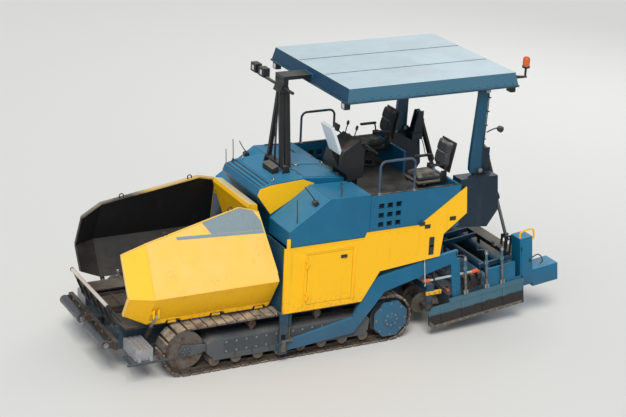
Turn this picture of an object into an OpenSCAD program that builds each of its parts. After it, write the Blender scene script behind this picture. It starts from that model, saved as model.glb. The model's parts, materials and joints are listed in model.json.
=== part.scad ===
// Tracked asphalt paver, parked with its hopper wings folded up and its screed lifted.
// +X points to the hopper, +Y to the machine's left, +Z up. The origin lies on the ground,
// at the middle of the length and of the width. Millimetres.

/* [Tracks] */
// Width of a track shoe
shoe_w = 300; // [260:5:320]
// Distance from the middle of the machine to the middle of a track
track_y = 1000; // [980:5:1010]
// Height of a track from the ground to its top run
track_h = 700; // [660:5:720]
// Distance between the sprocket and the front idler
track_base = 3110; // [2900:10:3200]
// Place of the sprocket's axis along the machine
sprocket_x = -710; // [-760:5:-690]
// Number of shoes on a track
shoe_count = 56; // [48:2:60]
// Thickness of a shoe's pad
pad_t = 28; // [22:1:34]

/* [Body] */
// Distance from a track's outer edge to the inner face of the side panel
side_gap = 75; // [75:1:85]
// Thickness of a side panel and its door
panel_t = 25; // [20:1:27]
// Place of the side panels' front edge
panel_x = 1050; // [1030:5:1070]
// Height of the side panels' lower edge
panel_z = 735; // [730:1:760]
// Height of the side panels' upper edge at the front
panel_top = 1680; // [1640:5:1720]
// Rise of the side panels' upper edge behind its notch
panel_step = 70; // [50:5:90]
// Length of a side door
door_l = 700; // [500:10:740]
// Height of a side door
door_h = 730; // [600:10:780]
// Gap round a side door
door_gap = 6; // [5:0.5:8]
// Half width of the hood's middle part
hood_half_w = 580; // [540:5:620]
// Height of the hood's top
hood_top = 2410; // [2380:5:2430]
// Thickness of the hood's and the body's walls
wall = 12; // [8:1:16]
// Height of the operators' floor
deck_z = 1950; // [1900:5:1980]
// Height of the body's rail round the platform
rail_z = 2270; // [2240:5:2300]

/* [Hopper] */
// Half width between the wings' hinges
wing_hinge_y = 900; // [890:5:910]
// Height of the wings' hinges
wing_hinge_z = 740; // [735:5:760]
// Half width at the wings' crease
wing_crease_y = 1200; // [1160:5:1215]
// Height of the wings' crease
wing_crease_z = 1210; // [1160:5:1240]
// Thickness of a wing's double wall
wing_t = 40; // [30:1:50]
// Length of a wing's inturned front part
wing_nose_l = 310; // [280:10:310]
// Height of the hopper's floor
floor_z = 640; // [620:5:650]
// Radius of a push roller
push_roller_r = 65; // [50:1:70]

/* [Canopy] */
// Length of the roof
roof_l = 2720; // [2600:10:2800]
// Width of the roof at its lower edge
roof_w = 2340; // [2200:10:2400]
// Depth of the roof's edge
roof_d = 210; // [160:5:240]
// Height of the roof's top
roof_top = 3800; // [3760:5:3840]
// Slope of the roof's edges inward, across their depth
roof_taper = 45; // [20:5:60]
// Height between the lower and the upper pivots of the roof's links
link_h = 1170; // [1140:5:1190]
// Lean of the roof's links to the rear
link_lean = 30; // [20:5:60]

/* [Screed] */
// Angle by which the screed is lifted as the machine parks
screed_lift = 6.5; // [6:0.1:7]
// Height of the tow point
tow_z = 220; // [200:5:240]
// Place of the tow point along the machine
tow_x = 1020; // [1000:5:1040]
// Depth of the sole plates below the tow point at work
sole_drop = 363; // [350:1:380]
// Width of the base screed
base_w = 2450; // [2400:10:2470]
// Depth of the base screed along the machine
base_d = 540; // [480:5:560]
// Depth of an extension along the machine
ext_d = 480; // [420:5:500]
// Radius of the extensions' guide rods
guide_r = 45; // [35:1:50]
// Thickness of an end gate
gate_t = 30; // [20:1:34]
// Thickness of a tow arm
arm_t = 60; // [45:1:60]

/* [Augers] */
// Radius of the auger flights
auger_r = 190; // [160:5:195]
// Radius of the auger shafts
auger_shaft_r = 38; // [30:1:45]
// Height of the auger shafts
auger_z = 430; // [400:5:460]
// Turns of each half auger
auger_turns = 3.5; // [2:0.5:5]

/* [Hidden] */
$fn = 48;

yellow = "gold";
teal = "steelblue";
dark_teal = "darkslategray";
black = "dimgray";
steel = "silver";

// Running gap of a pin in its bore, gap of parts that seat, gap of parts that pass
run_gap = 0.05;
seat_gap = 0.3;
pass_gap = 10;

track_in = track_y - shoe_w / 2;
track_out = track_y + shoe_w / 2;
sprocket_r = track_h / 2;
idler_x = sprocket_x + track_base;
chain_t = 45;
chain_w = 110;
side_y = 640;
side_t = 25;
side_out = side_y + side_t;
body_y = track_out + side_gap;
panel_y = body_y + panel_t;

// A profile of points [x, z] carried along Y, and one of points [y, z] carried along X
module side_sheet(points, y0, y1) {
  translate([0, y1, 0]) rotate([90, 0, 0]) linear_extrude(y1 - y0) polygon(points);
}
module cross_sheet(points, x0, x1) {
  translate([x0, 0, 0]) rotate([90, 0, 90]) linear_extrude(x1 - x0) polygon(points);
}
// A block between two corners
module block(a, b) {
  translate(a) cube(b - a);
}
// A rod along Y, along X, or up Z
module rod_y(x, z, y0, y1, r) {
  translate([x, y1, z]) rotate([90, 0, 0]) cylinder(r = r, h = y1 - y0);
}
module rod_x(y, z, x0, x1, r) {
  translate([x0, y, z]) rotate([0, 90, 0]) cylinder(r = r, h = x1 - x0);
}
// A round bar between two points
module bar(a, b, r) {
  v = b - a;
  translate(a)
    rotate([0, acos(v[2] / norm(v)), atan2(v[1], v[0])])
      cylinder(r = r, h = norm(v));
}
module both_sides() {
  children();
  mirror([0, 1, 0]) children();
}

// Tracks

track_len = 2 * track_base + 2 * PI * sprocket_r;
shoe_gap = 16;
shoe_pitch = track_len / shoe_count;
// A point of the loop at a way s along it, at a radius r round its wheels
function loop_point(s, r) =
  s < track_base ? [idler_x - s, sprocket_r + r]
  : s < track_base + PI * sprocket_r
    ? let(a = (s - track_base) / sprocket_r * 180 / PI)
      [sprocket_x - r * sin(a), sprocket_r + r * cos(a)]
  : s < 2 * track_base + PI * sprocket_r
    ? [sprocket_x + s - track_base - PI * sprocket_r, sprocket_r - r]
  : let(a = (s - 2 * track_base - PI * sprocket_r) / sprocket_r * 180 / PI)
    [idler_x + r * sin(a), sprocket_r - r * cos(a)];
function wrap(s) = s < 0 ? s + track_len : s >= track_len ? s - track_len : s;
module loop_outline(r) {
  polygon([for (k = [0:shoe_count - 1], e = [0.001, 0.5]) loop_point(wrap((k + e) * shoe_pitch), r)]);
}
module shoe_outline(r_in, r_out) {
  polygon([for (k = [0:shoe_count - 1],
                e = [[0, r_in], [shoe_gap / 2, r_in], [shoe_gap / 2 + 6, r_out],
                     [shoe_pitch - shoe_gap / 2 - 6, r_out], [shoe_pitch - shoe_gap / 2, r_in]])
            loop_point(wrap(k * shoe_pitch + e[0]), e[1])]);
}
module tracks() {
  color(black) both_sides() {
    translate([0, track_out, 0]) rotate([90, 0, 0]) linear_extrude(shoe_w)
      difference() {
        shoe_outline(sprocket_r - pad_t + 6, sprocket_r);
        loop_outline(sprocket_r - pad_t);
      }
    translate([0, track_y + chain_w / 2, 0]) rotate([90, 0, 0]) linear_extrude(chain_w)
      difference() {
        loop_outline(sprocket_r - pad_t + 1);
        loop_outline(sprocket_r - pad_t - chain_t);
      }
  }
}

// Height at which a wheel of a radius runs on the lower run of the chain
chain_in = pad_t + chain_t;
roller_r = 75;
roller_count = 8;
return_roller_r = 55;
idler_hub_r = 60;
wheel_r = (sprocket_r - chain_in) * cos(45 / PI * shoe_pitch / sprocket_r) - seat_gap;
roller_x0 = sprocket_x + wheel_r + roller_r + 60;
roller_x1 = idler_x - wheel_r - roller_r - 60;
beam_y0 = track_in + 20;
beam_y1 = track_out - 5;
beam_z0 = 225;
beam_z1 = 470;
module track_frames() {
  color(dark_teal) both_sides() {
    difference() {
      side_sheet([[roller_x0 - 60, beam_z0], [roller_x1 + 60, beam_z0], [roller_x1 + 120, beam_z0 + 60],
                  [roller_x1 + 120, beam_z1 - 50], [roller_x1 + 20, beam_z1], [roller_x0 - 20, beam_z1],
                  [roller_x0 - 80, beam_z1 - 80]], beam_y0, beam_y1);
      block([roller_x0 + 80, beam_y0 + 25, beam_z0 - 1], [roller_x1 - 80, beam_y1 - 25, beam_z1 - 25]);
    }
    // Feet that carry the frame on the machine's side plates
    for (x = [roller_x0 + 120, roller_x1 - 220])
      block([x, side_out, beam_z0 + 40], [x + 220, beam_y0, beam_z1 - 40]);
    // Roller cheeks below the beam, inside and outside the rollers
    for (y = [beam_y0, beam_y1 - 25])
      block([roller_x0 - 40, y, beam_z0 - 60], [roller_x1 + 40, y + 25, beam_z0]);
    // Forks of the front idler and the seat of the final drive
    for (y = [track_y - chain_w / 2 - 40, track_y + chain_w / 2 + 15]) difference() {
      side_sheet([[roller_x1 + 100, sprocket_r - 45], [idler_x + 40, sprocket_r - 90],
                  [idler_x + 100, sprocket_r],
                  [idler_x + 40, sprocket_r + 90], [roller_x1 + 100, sprocket_r + 45]], y, y + 25);
      rod_y(idler_x, sprocket_r, y - 1, y + 26, idler_hub_r + seat_gap);
    }
    block([sprocket_x + 60, side_out, sprocket_r - 90],
          [roller_x0 - 60, track_y - chain_w / 2 - 15, sprocket_r + 90]);
    rod_y(sprocket_x, sprocket_r, side_out, track_y - chain_w / 2 - 15, 150);
  }
}
module track_rollers() {
  color(steel) both_sides() {
    for (k = [0:roller_count - 1])
      let(x = roller_x0 + k * (roller_x1 - roller_x0) / (roller_count - 1))
        rod_y(x, chain_in + seat_gap + roller_r, beam_y0 + 25, beam_y1 - 25, roller_r);
    for (x = [sprocket_x + track_base * 0.36, sprocket_x + track_base * 0.68]) {
      rod_y(x, track_h - chain_in - seat_gap - return_roller_r, track_y - chain_w / 2,
            track_y + chain_w / 2,
            return_roller_r);
      block([x - 25, track_y - 30, beam_z1],
            [x + 25, track_y + 30, track_h - chain_in - 2 * return_roller_r + 10]);
    }
    rod_y(idler_x, sprocket_r, track_y - chain_w / 2, track_y + chain_w / 2, wheel_r);
    rod_y(idler_x, sprocket_r, track_y - chain_w / 2 - 50, track_y + chain_w / 2 + 50, idler_hub_r);
  }
}
cover_r = 285;
module drive_sprockets() {
  color(teal) both_sides() {
    rod_y(sprocket_x, sprocket_r, track_y - chain_w / 2, track_y + chain_w / 2, wheel_r);
    rod_y(sprocket_x, sprocket_r, track_y + chain_w / 2, track_out - 10, 150);
    translate([sprocket_x, track_out + 14, sprocket_r]) rotate([90, 22.5, 0])
      cylinder(r = cover_r, h = 24, $fn = 8);
  }
}

// Main frame

frame_x0 = -1150;
frame_x1 = idler_x + sprocket_r + 430;
frame_low = 330;
tunnel_top = 1000;
shelf_z = floor_z + 10;
bulk_x = frame_x0 + 700;
body_low = panel_top - 30;
arm_sweep_z = 1250;
tie_y = 480;
tie_t = 30;
tie_z = 380;
tie_r = 24;
tow_hole = [frame_x0 + 60, 400];
arm_y0 = track_out + 8;
arm_y1 = arm_y0 + arm_t;
auger_rail = 40;
auger_rail_z = 675;
module chassis_frame() {
  color(dark_teal) {
    both_sides() {
      difference() {
        side_sheet([[frame_x0, frame_low], [frame_x1, frame_low], [frame_x1, shelf_z - seat_gap],
                    [panel_x, shelf_z - seat_gap], [panel_x, panel_top - 30], [frame_x0, panel_top - 30]],
                   side_y, side_out);
        rod_y(tow_hole[0], tow_hole[1], side_y - 1, side_out + 1, tie_r);
      }
      // Bulkheads out to the side panels, with the deck over the track between them
      block([panel_x - 30, side_out, panel_z + 20],
            [panel_x - 10, body_y - seat_gap, panel_top - seat_gap]);
      cross_sheet([[side_out, panel_z], [track_out, panel_z], [track_out, arm_sweep_z],
                   [body_y - seat_gap, arm_sweep_z],
                   [body_y - seat_gap, body_low - seat_gap],
                     [side_out, body_low - seat_gap]], bulk_x, bulk_x + 20);
      block([bulk_x, side_out, panel_z], [panel_x - 10, track_out, panel_z + 20]);
      // Tie-down lugs at the front
      difference() {
        side_sheet([[frame_x1, 335], [frame_x1 + 45, 335], [frame_x1 + 75, 360], [frame_x1 + 75, 400],
                    [frame_x1 + 45, 425],
                    [frame_x1, 425]], tie_y, tie_y + tie_t);
        rod_y(frame_x1 + 38, tie_z, tie_y - 1, tie_y + tie_t + 1, tie_r);
      }
      tow_column();
      // Rails of the auger frame
      block([frame_x0 - auger_rail, side_y - 35, auger_rail_z], [frame_x0 + 10, side_out, tunnel_top]);
    }
    // Cross members
    block([frame_x1 - 80, -side_y, frame_low], [frame_x1, side_y, floor_z - 200]);
    block([panel_x - 60, -side_y, tunnel_top], [panel_x, side_y, panel_top - 30]);
    block([frame_x0, -side_y, tunnel_top], [frame_x0 + 40, side_y, panel_top - 30]);
    block([frame_x0 + 40, -side_y, tunnel_top], [panel_x - 60, side_y, tunnel_top + 15]);
    block([-150, -side_y, 1180], [950, side_y, 1230]);
    // Nose bracket of the push beam
    block([frame_x1, -110, 400], [frame_x1 + 95, 110, 430]);
    block([frame_x1, -110, 570], [frame_x1 + 95, 110, 600]);
    block([frame_x1 - 80, -110, floor_z - 200], [frame_x1, 110, 600]);
    wing_cylinder_feet();
    apron_lugs();
    front_steps();
  }
}
// Steps at the hopper's front corners, with a bar along their foot
step_rear_x = idler_x + sprocket_r + 135;
step_front_x = step_rear_x + 245;
step_out_y = track_out - 20;
module front_steps() {
  both_sides() {
    difference() {
      block([step_rear_x, side_out - 1, frame_low + 10], [step_front_x, step_out_y, 490]);
      block([step_rear_x + 12, side_out + 20, frame_low - 1], [step_front_x - 12, step_out_y - 12, 478]);
    }
    for (k = [0:3])
      block([step_rear_x + 5 + k * 70, side_out + 30, 489], [step_rear_x + 30 + k * 70, step_out_y, 505]);
    rod_x(track_out + 28, frame_low - 10, step_rear_x - 330, step_front_x + 130, 17);
    for (x = [step_rear_x + 20, step_front_x - 60])
      block([x, step_out_y - 13, frame_low - 15], [x + 40, track_out + 28, frame_low + 60]);
    block([step_front_x + 60, track_out - 250, frame_low - 20],
          [step_front_x + 90, track_out + 28, frame_low + 5]);
    block([step_front_x - 20, track_out - 250, frame_low - 5],
          [step_front_x + 70, track_out - 220, frame_low + 15]);
  }
}
module engine_block() {
  color("gray") block([-100, -380, 1230], [900, 380, 2130]);
}
shelf_y = track_in - 12;
module hopper_floor() {
  color(black) {
    block([conveyor_x0 + 60, -side_y + seat_gap, floor_z - 130 + seat_gap],
          [conveyor_x1 - 60, side_y - seat_gap, floor_z - 80 - seat_gap]);
    both_sides()
      cross_sheet([[side_out + seat_gap, floor_z - 30], [shelf_y, wing_hinge_z - 72],
                   [shelf_y, wing_hinge_z - 40], [side_y - 60, floor_z + 30],
                   [side_y - 60, shelf_z], [side_out + seat_gap, shelf_z]], panel_x + 50, frame_x1 - 12);
    both_sides() wing_lugs();
  }
}
conveyor_x0 = frame_x0 + 100;
conveyor_x1 = frame_x1 - 140;
rear_wall_x = panel_x + 60;
strip_x = 1180;
strip_z = 2080;
module hopper_rear_wall() {
  color(yellow) {
    side_sheet([[rear_wall_x, floor_z + 360], [rear_wall_x + wall, floor_z + 360],
                [rear_wall_x + wall, 1500],
                [strip_x + 130, strip_z], [strip_x + 110, strip_z + 60], [strip_x - 20, strip_z + 30],
                [rear_wall_x, 1500]], -hood_half_w, hood_half_w);
    for (y = [-450, 0, 450])
      block([panel_x + seat_gap, y - 20, tunnel_top + 80], [rear_wall_x, y + 20, 1480]);
  }
}
module conveyor_slats() {
  color(black) both_sides() {
    slat_n = 20;
    l0 = conveyor_x0;
    l1 = conveyor_x1;
    pitch = (l1 - l0) / slat_n;
    difference() {
      union() {
        block([l0, 30, floor_z - 150], [l1, 600, floor_z - 60]);
        rod_y(l0, floor_z - 105, 30, 600, 45);
        rod_y(l1, floor_z - 105, 30, 600, 45);
        for (k = [0:slat_n])
          block([l0 + k * pitch - 15, 30, floor_z - 175], [l0 + k * pitch + 15, 600, floor_z - 35]);
      }
      block([l0, 29, floor_z - 130], [l1, 601, floor_z - 80]);
    }
  }
}

// Body

hood_front_x = 965;
hood_rear_x = -170;
// Height of the hood's top over its middle stretch
hood_mid = [480, 960];
hood_fall = 30;
function hood_z(x) = hood_top - hood_fall * (x - hood_mid[0]) / (hood_mid[1] - hood_mid[0]);
module hood_profile(o) {
  polygon([[hood_front_x - o, 1240], [hood_front_x - o, 1945], [1165 - o, 2235 - o],
           [1130 - o, hood_top - 80 - o],
           [hood_mid[1], hood_top - hood_fall - o], [hood_mid[0], hood_top - o],
           [hood_rear_x + o, hood_top - 70 - o], [hood_rear_x + o, 1240]]);
}
module hood() {
  color(teal) {
    difference() {
      translate([0, hood_half_w, 0]) rotate([90, 0, 0]) linear_extrude(2 * hood_half_w) hood_profile(0);
      translate([0, hood_half_w - wall, -1]) rotate([90, 0, 0])
        linear_extrude(2 * (hood_half_w - wall)) hood_profile(wall);
    }
  }
}
shoulder_x = 980;
module hood_cheeks() {
  color(yellow) both_sides()
    side_sheet([[1165, 2235], [hood_front_x, 1945], [300, hood_top - 95], [480, hood_top - 20],
                [960, hood_top - 50],
                [1130, hood_top - 90]], hood_half_w, hood_half_w + wall);
}
seam_x = -250;
module shoulders() {
  color(teal) both_sides()
    difference() {
      side_sheet([[shoulder_x, panel_top], [shoulder_x, 1905], [380, 2310], [seam_x, rail_z + 20],
                  [seam_x, panel_top]],
                 hood_half_w + wall, body_y);
      side_sheet([[shoulder_x - wall, panel_top - 1], [shoulder_x - wall, 1905 - wall],
                  [380 - wall / 2, 2310 - wall],
                  [seam_x + wall, rail_z + 20 - wall], [seam_x + wall, panel_top - 1]],
                 hood_half_w + 2 * wall, body_y - wall);
    }
}

platform_x0 = -1690;
lift_y = base_w / 2 - 305;
lift_barrel_r = 42;
housing_y0 = lift_y + lift_barrel_r + pass_gap + 13;
vent_n = 3;
vent = 85;
vent_pitch = 135;
vent_x = -420;
vent_z = 2105;
module platform_body() {
  color(teal) difference() {
    union() {
      both_sides() {
        block([platform_x0, body_y - 50, panel_top - 30], [seam_x, body_y, rail_z]);
        block([platform_x0, hood_half_w - 250, panel_top - 30], [platform_x0 + 40, body_y - 50, rail_z]);
      }
      block([platform_x0, -hood_half_w + 250, panel_top - 30],
            [platform_x0 + 40, hood_half_w - 250, deck_z - 20]);
    }
    for (i = [0:vent_n - 1], j = [0:vent_n - 1])
      translate([vent_x - i * vent_pitch - vent / 2, -body_y - 1, vent_z - j * vent_pitch - vent / 2])
        cube([vent, 2 * body_y + 2, vent]);
  }
}
module platform_deck() {
  color(black) {
    block([platform_x0 + 40, -body_y + 50, deck_z - 20], [seam_x - seat_gap, body_y - 50, deck_z]);
    block([seam_x - seat_gap, -hood_half_w, deck_z - 20], [hood_rear_x - seat_gap, hood_half_w, deck_z]);
    for (x = [platform_x0 + 200, -700])
      block([x, -side_out, panel_top - 30], [x + 60, side_out, deck_z - 20]);
  }
}
housing_x0 = platform_x0 - 660;
housing_top = 2330;
module rear_housings() {
  color(dark_teal) both_sides() {
    side_sheet([[platform_x0, panel_top - 60], [housing_x0 + 170, panel_top - 110],
                [housing_x0, panel_top + 130],
                [housing_x0 + 50, housing_top], [platform_x0, housing_top]], housing_y0, body_y - 20);
  }
  color(dark_teal) lift_heads();
  color(dark_teal) block([platform_x0 - 60, -housing_y0, panel_top + 20],
                         [platform_x0, housing_y0, panel_top + 220]);
}

// Side panels, each with its door

door_x1 = 700;
door_z0 = 820;
panel_tail = [[-170, panel_z], [-440, 1150], [-1400, 1240], [-1440, 1570], [-1800, 1840], [-1770, 2230],
              [-1050, panel_top + panel_step], [-210, panel_top + panel_step], [-180, panel_top]];
hinge_r = 8;
hinge_y = panel_y + hinge_r + 6;
hinge_zs = [door_z0 + 130, door_z0 + door_h - 130];
hinge_h = 60;
lug_h = 30;
module side_panels() {
  color(yellow) both_sides() {
    difference() {
      side_sheet(concat([[panel_x, panel_top], [panel_x, panel_z]], panel_tail), body_y, panel_y);
      block([door_x1 - door_l, body_y - 1, door_z0], [door_x1, panel_y + 1, door_z0 + door_h]);
    }
    for (z = hinge_zs) {
      translate([door_x1, hinge_y, z - hinge_h / 2 - lug_h]) cylinder(r = hinge_r, h = hinge_h + 2 * lug_h);
      for (zl = [z - hinge_h / 2 - lug_h, z + hinge_h / 2])
        block([door_x1, panel_y - 1, zl], [door_x1 + 30, hinge_y + 10, zl + lug_h]);
    }
  }
}
module side_door() {
  color(yellow) difference() {
    union() {
      block([door_x1 - door_l + door_gap, body_y + 5, door_z0 + door_gap],
            [door_x1 - door_gap, panel_y, door_z0 + door_h - door_gap]);
      for (z = hinge_zs) {
        translate([door_x1, hinge_y, z - hinge_h / 2 + seat_gap])
          cylinder(r = hinge_r + 5, h = hinge_h - 2 * seat_gap);
        block([door_x1 - 40, panel_y - 1, z - hinge_h / 2 + seat_gap],
              [door_x1 - 6, panel_y + 16, z + hinge_h / 2 - seat_gap]);
      }
    }
    for (z = hinge_zs)
      translate([door_x1, hinge_y, z - hinge_h]) cylinder(r = hinge_r + run_gap, h = 2 * hinge_h);
  }
}
module side_door_left() side_door();
module side_door_right() mirror([0, 1, 0]) side_door();

// Platform fittings

// A rail of round tube, up from z0, over at z1 and down again, bent at a radius
bend_r = 90;
module hoop(x0, x1, y, z0, z1, r) {
  for (x = [x0, x1]) translate([x, y, z0]) cylinder(r = r, h = z1 - bend_r - z0);
  rod_x(y, z1, x0 + bend_r, x1 - bend_r, r);
  for (e = [[x0 + bend_r, 90], [x1 - bend_r, 0]])
    translate([e[0], y, z1 - bend_r]) rotate([90, 0, 0]) rotate([0, 0, e[1]])
      rotate_extrude(angle = 90) translate([bend_r, 0]) circle(r = r);
}
module handrails() {
  color(steel) both_sides() hoop(-930, -380, body_y - 25, rail_z, 2740, 17);
}
seats = [[-1330, 800], [-1330, -800]];
module operator_seats() {
  color(black) for (s = seats) translate([s[0], s[1], 0]) {
    translate([0, 0, deck_z]) cylinder(r = 110, h = 30);
    translate([0, 0, deck_z + 30]) cylinder(r = 50, h = 250);
    block([-220, -200, deck_z + 280], [220, 200, deck_z + 330]);
    hull() for (x = [-190, 190], y = [-180, 180])
      translate([x, y, deck_z + 330]) cylinder(r = 60, h = 90, $fn = 24);
    hull() for (y = [-170, 170]) {
      translate([-250, y, deck_z + 380]) rotate([0, -12, 0]) cylinder(r = 50, h = 480, $fn = 24);
    }
  }
}
console_y = 430;
module operator_console() {
  color(black) {
    block([-400, console_y - 110, deck_z], [-290, console_y + 110, deck_z + 420]);
    side_sheet([[-420, deck_z + 400], [-190, deck_z + 345], [-180, hood_top - 30], [-20, hood_top + 100],
                [-90, deck_z + 800], [-330, deck_z + 940],
                  [-420, deck_z + 760]], console_y - 240, console_y + 240);
    // Its lid, standing open
    side_sheet([[-100, deck_z + 752], [-78, deck_z + 744], [66, deck_z + 1122], [44, deck_z + 1130]],
               console_y - 110, console_y + 110);
  }
}

// Canopy on four parallel links

front_pivot = [600, hood_top + 60];
rear_pivot = [housing_x0 + 285, housing_top + 60];
link = [-link_lean, link_h];
front_top = front_pivot + link;
rear_top = rear_pivot + link;
pin_r = 20;
post_y = 1050;
post_t = 60;
post_front = 150;
ear_t = 20;
leg_foot = 250;
leg_head = 60;
leg_r = 40;
far_leg_r = 27;
head_half = 115;
tube_r = 36;
lamp_bar_drop = 80;
roof_x1 = 170;
roof_x0 = roof_x1 - roof_l;
module canopy_rear_posts() {
  color(teal) both_sides() difference() {
    side_sheet([rear_pivot + [-25, -40], rear_pivot + [post_front - 20, -40],
                rear_pivot + [post_front + 15, 20],
                rear_pivot + [post_front + 15, 180], rear_top + [post_front - 25, -80],
                  rear_top + [post_front - 25, -20],
                rear_top + [40, 40], rear_top + [-30, 40], rear_pivot + [-30, 400]],
               post_y - post_t / 2, post_y + post_t / 2);
    for (p = [rear_pivot, rear_top]) rod_y(p[0], p[1], post_y - post_t, post_y + post_t, pin_r + run_gap);
  }
}
// The front frame: a near leg of two tubes, a slim far leg, and a bar across for lamps,
// drawn upright on its lower pivot and then leant back
leg_l = norm(link);
module square_leg(x, y_foot, y_head, half) {
  cross_sheet([[y_foot - half, 10], [y_foot + half, 10], [y_head + half, leg_l - 110],
               [y_head - half, leg_l - 110]], x - half, x + half);
}
module canopy_front_frame() {
  color(black) translate([front_pivot[0], 0, front_pivot[1]]) rotate([0, -atan(link_lean / link_h), 0])
    difference() {
      union() {
        square_leg(-42, leg_foot - 15, leg_head, leg_r);
        square_leg(44, leg_foot - 15, leg_head, leg_r - 13);
        square_leg(3, -leg_foot, -leg_head, far_leg_r);
        rod_y(0, 0, -leg_foot - 40, leg_foot + 40, tube_r);
        rod_y(0, leg_l, -head_half, head_half, tube_r);
        side_sheet([[-85, leg_l - 140], [75, leg_l - 140], [tube_r - 10, leg_l + 8],
                    [10 - tube_r, leg_l + 8]], 4 - head_half, head_half - 4);
        rod_y(0, leg_l - lamp_bar_drop, -950, 350, 22);
        for (y = [-880, -620])
          block([-40, y, leg_l - lamp_bar_drop + 5], [60, y + 160, leg_l + 50]);
      }
      for (z = [0, leg_l]) rod_y(0, z, -400, 400, pin_r + run_gap);
    }
}
// Feet of the links on the hood and on the rear housings, and their pins
module canopy_feet() {
  color(black) {
    rod_y(front_pivot[0], front_pivot[1], -leg_foot - 40 - ear_t, leg_foot + 40 + ear_t, pin_r);
    side_sheet([[front_pivot[0] + 90, hood_z(front_pivot[0] + 90) + seat_gap],
                [front_pivot[0] + 190, hood_z(front_pivot[0] + 190) + seat_gap],
                [front_pivot[0] + 190, front_pivot[1] - 5],
                  [front_pivot[0] + 90, front_pivot[1] + 30]], -60, leg_foot);
    both_sides() {
      side_sheet([[front_pivot[0] - 60, hood_z(front_pivot[0] - 60) + seat_gap],
                  [front_pivot[0] + 60, hood_z(front_pivot[0] + 60) + seat_gap],
                  [front_pivot[0] + 34, front_pivot[1] + 30], [front_pivot[0] - 34, front_pivot[1] + 30]],
                 leg_foot + 40 + seat_gap, leg_foot + 40 + ear_t);
      rod_y(rear_pivot[0], rear_pivot[1], post_y - post_t / 2 - ear_t, post_y + post_t / 2 + ear_t, pin_r);
      for (y = [post_y - post_t / 2 - ear_t, post_y + post_t / 2 + seat_gap])
        side_sheet([[rear_pivot[0] - 90, housing_top], [rear_pivot[0] + 90, housing_top],
                    [rear_pivot[0] + 40, rear_pivot[1] + 36],
                    [rear_pivot[0] - 40, rear_pivot[1] + 36]], y, y + ear_t - seat_gap);
    }
  }
}
skin = 30;
roof_under = roof_top - skin;
tongue_z = roof_under - 85;
tongue_t = 50;
// How far the roof's sloping edge has drawn in at a height
function roof_edge(z) = roof_taper * (z - roof_top + roof_d) / roof_d;
module canopy_frame() {
  color(teal) {
    // A tongue out from under the roof's front edge, with the front frame's upper pin in its ears
    rod_y(front_top[0], front_top[1], -head_half - ear_t, head_half + ear_t, pin_r);
    side_sheet([[roof_x1 - roof_edge(tongue_z) + seat_gap, tongue_z], [front_top[0] + tube_r, tongue_z],
                [front_top[0] + tube_r, tongue_z + tongue_t],
                [roof_x1 - roof_edge(tongue_z + tongue_t) + seat_gap, tongue_z + tongue_t]],
               -head_half - ear_t, head_half + ear_t);
    both_sides() {
      for (y = [post_y - post_t / 2 - ear_t, post_y + post_t / 2 + seat_gap])
        side_sheet([[rear_top[0] - 40, rear_top[1] - 30], [rear_top[0] + 40, rear_top[1] - 30],
                    [rear_top[0] + 60, roof_under],
                      [rear_top[0] - 60, roof_under]], y, y + ear_t - seat_gap);
      rod_y(rear_top[0], rear_top[1], post_y - post_t / 2 - ear_t, post_y + post_t / 2 + ear_t, pin_r);
      side_sheet([[front_top[0] - tube_r, front_top[1] - 30], [front_top[0] + tube_r, front_top[1] - 30],
                  [front_top[0] + tube_r, tongue_z + 5],
                    [front_top[0] - tube_r, tongue_z + 5]], head_half + seat_gap,
                 head_half + ear_t);
      block([roof_x0 + 120, post_y - 50, roof_under - 60], [roof_x1 - 120, post_y + 50, roof_under]);
    }
    for (x = [roof_x1 - 150, rear_top[0], (roof_x1 - 150 + rear_top[0]) / 2])
      block([x - 40, -post_y + 50, roof_under - 60], [x + 40, post_y - 50, roof_under]);
  }
}
// A shallow tray with sloping edges, between heights z0 and z1, thinned by o
module roof_tray(z0, z1, o) {
  function edge(z) = roof_edge(z) + o;
  intersection() {
    side_sheet([[roof_x0 + edge(z0), z0], [roof_x1 - edge(z0), z0], [roof_x1 - edge(z1), z1],
                [roof_x0 + edge(z1), z1]],
               -roof_w / 2, roof_w / 2);
    cross_sheet([[-roof_w / 2 + edge(z0), z0], [roof_w / 2 - edge(z0), z0], [roof_w / 2 - edge(z1), z1],
                 [-roof_w / 2 + edge(z1), z1]], roof_x0, roof_x1);
  }
}
module canopy_roof() {
  color("lightsteelblue") difference() {
    roof_tray(roof_top - roof_d, roof_top, 0);
    roof_tray(roof_top - roof_d - 1, roof_top - skin, skin);
  }
}
lamps = [[150, 1050], [150, -1050], [-2480, 1050], [-2480, -1050]];
module work_lamps() {
  color("white") for (l = lamps)
    translate([l[0] - 60, l[1] - 60, roof_top - roof_d - 90]) cube([80, 120, 90]);
}
beacon_at = [roof_x0 - 150, 1080];
// On a bracket at the roof's rear edge
module beacon() {
  color("orangered") {
    side_sheet([[roof_x0 + roof_edge(3690) - seat_gap, 3690], [roof_x0 + roof_edge(3740) - seat_gap, 3740],
                [beacon_at[0] - 20, 3710],
                  [beacon_at[0] - 20, 3690]], beacon_at[1] - 20, beacon_at[1] + 20);
    translate([beacon_at[0], beacon_at[1], 3700]) cylinder(r = 18, h = 140);
    translate([beacon_at[0], beacon_at[1], 3830]) cylinder(r = 50, h = 30);
    translate([beacon_at[0], beacon_at[1], 3855]) cylinder(r = 55, h = 90);
    translate([beacon_at[0], beacon_at[1], 3945]) sphere(r = 55);
  }
}

// Hopper wings

wing_x0 = panel_x + 40;
wing_x1 = frame_x1 + 20;
nose_x = wing_x1 - wing_nose_l;
wing_top_y = 850;
wing_top_z = 1860;
nose_in = 150;
nose_drop = 140;
nose_rise = 150;
seam = 5;
wing_rear_z = 2065;
wing_peak_z = 2140;
wing_reach = 2 * wing_crease_y;
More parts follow.
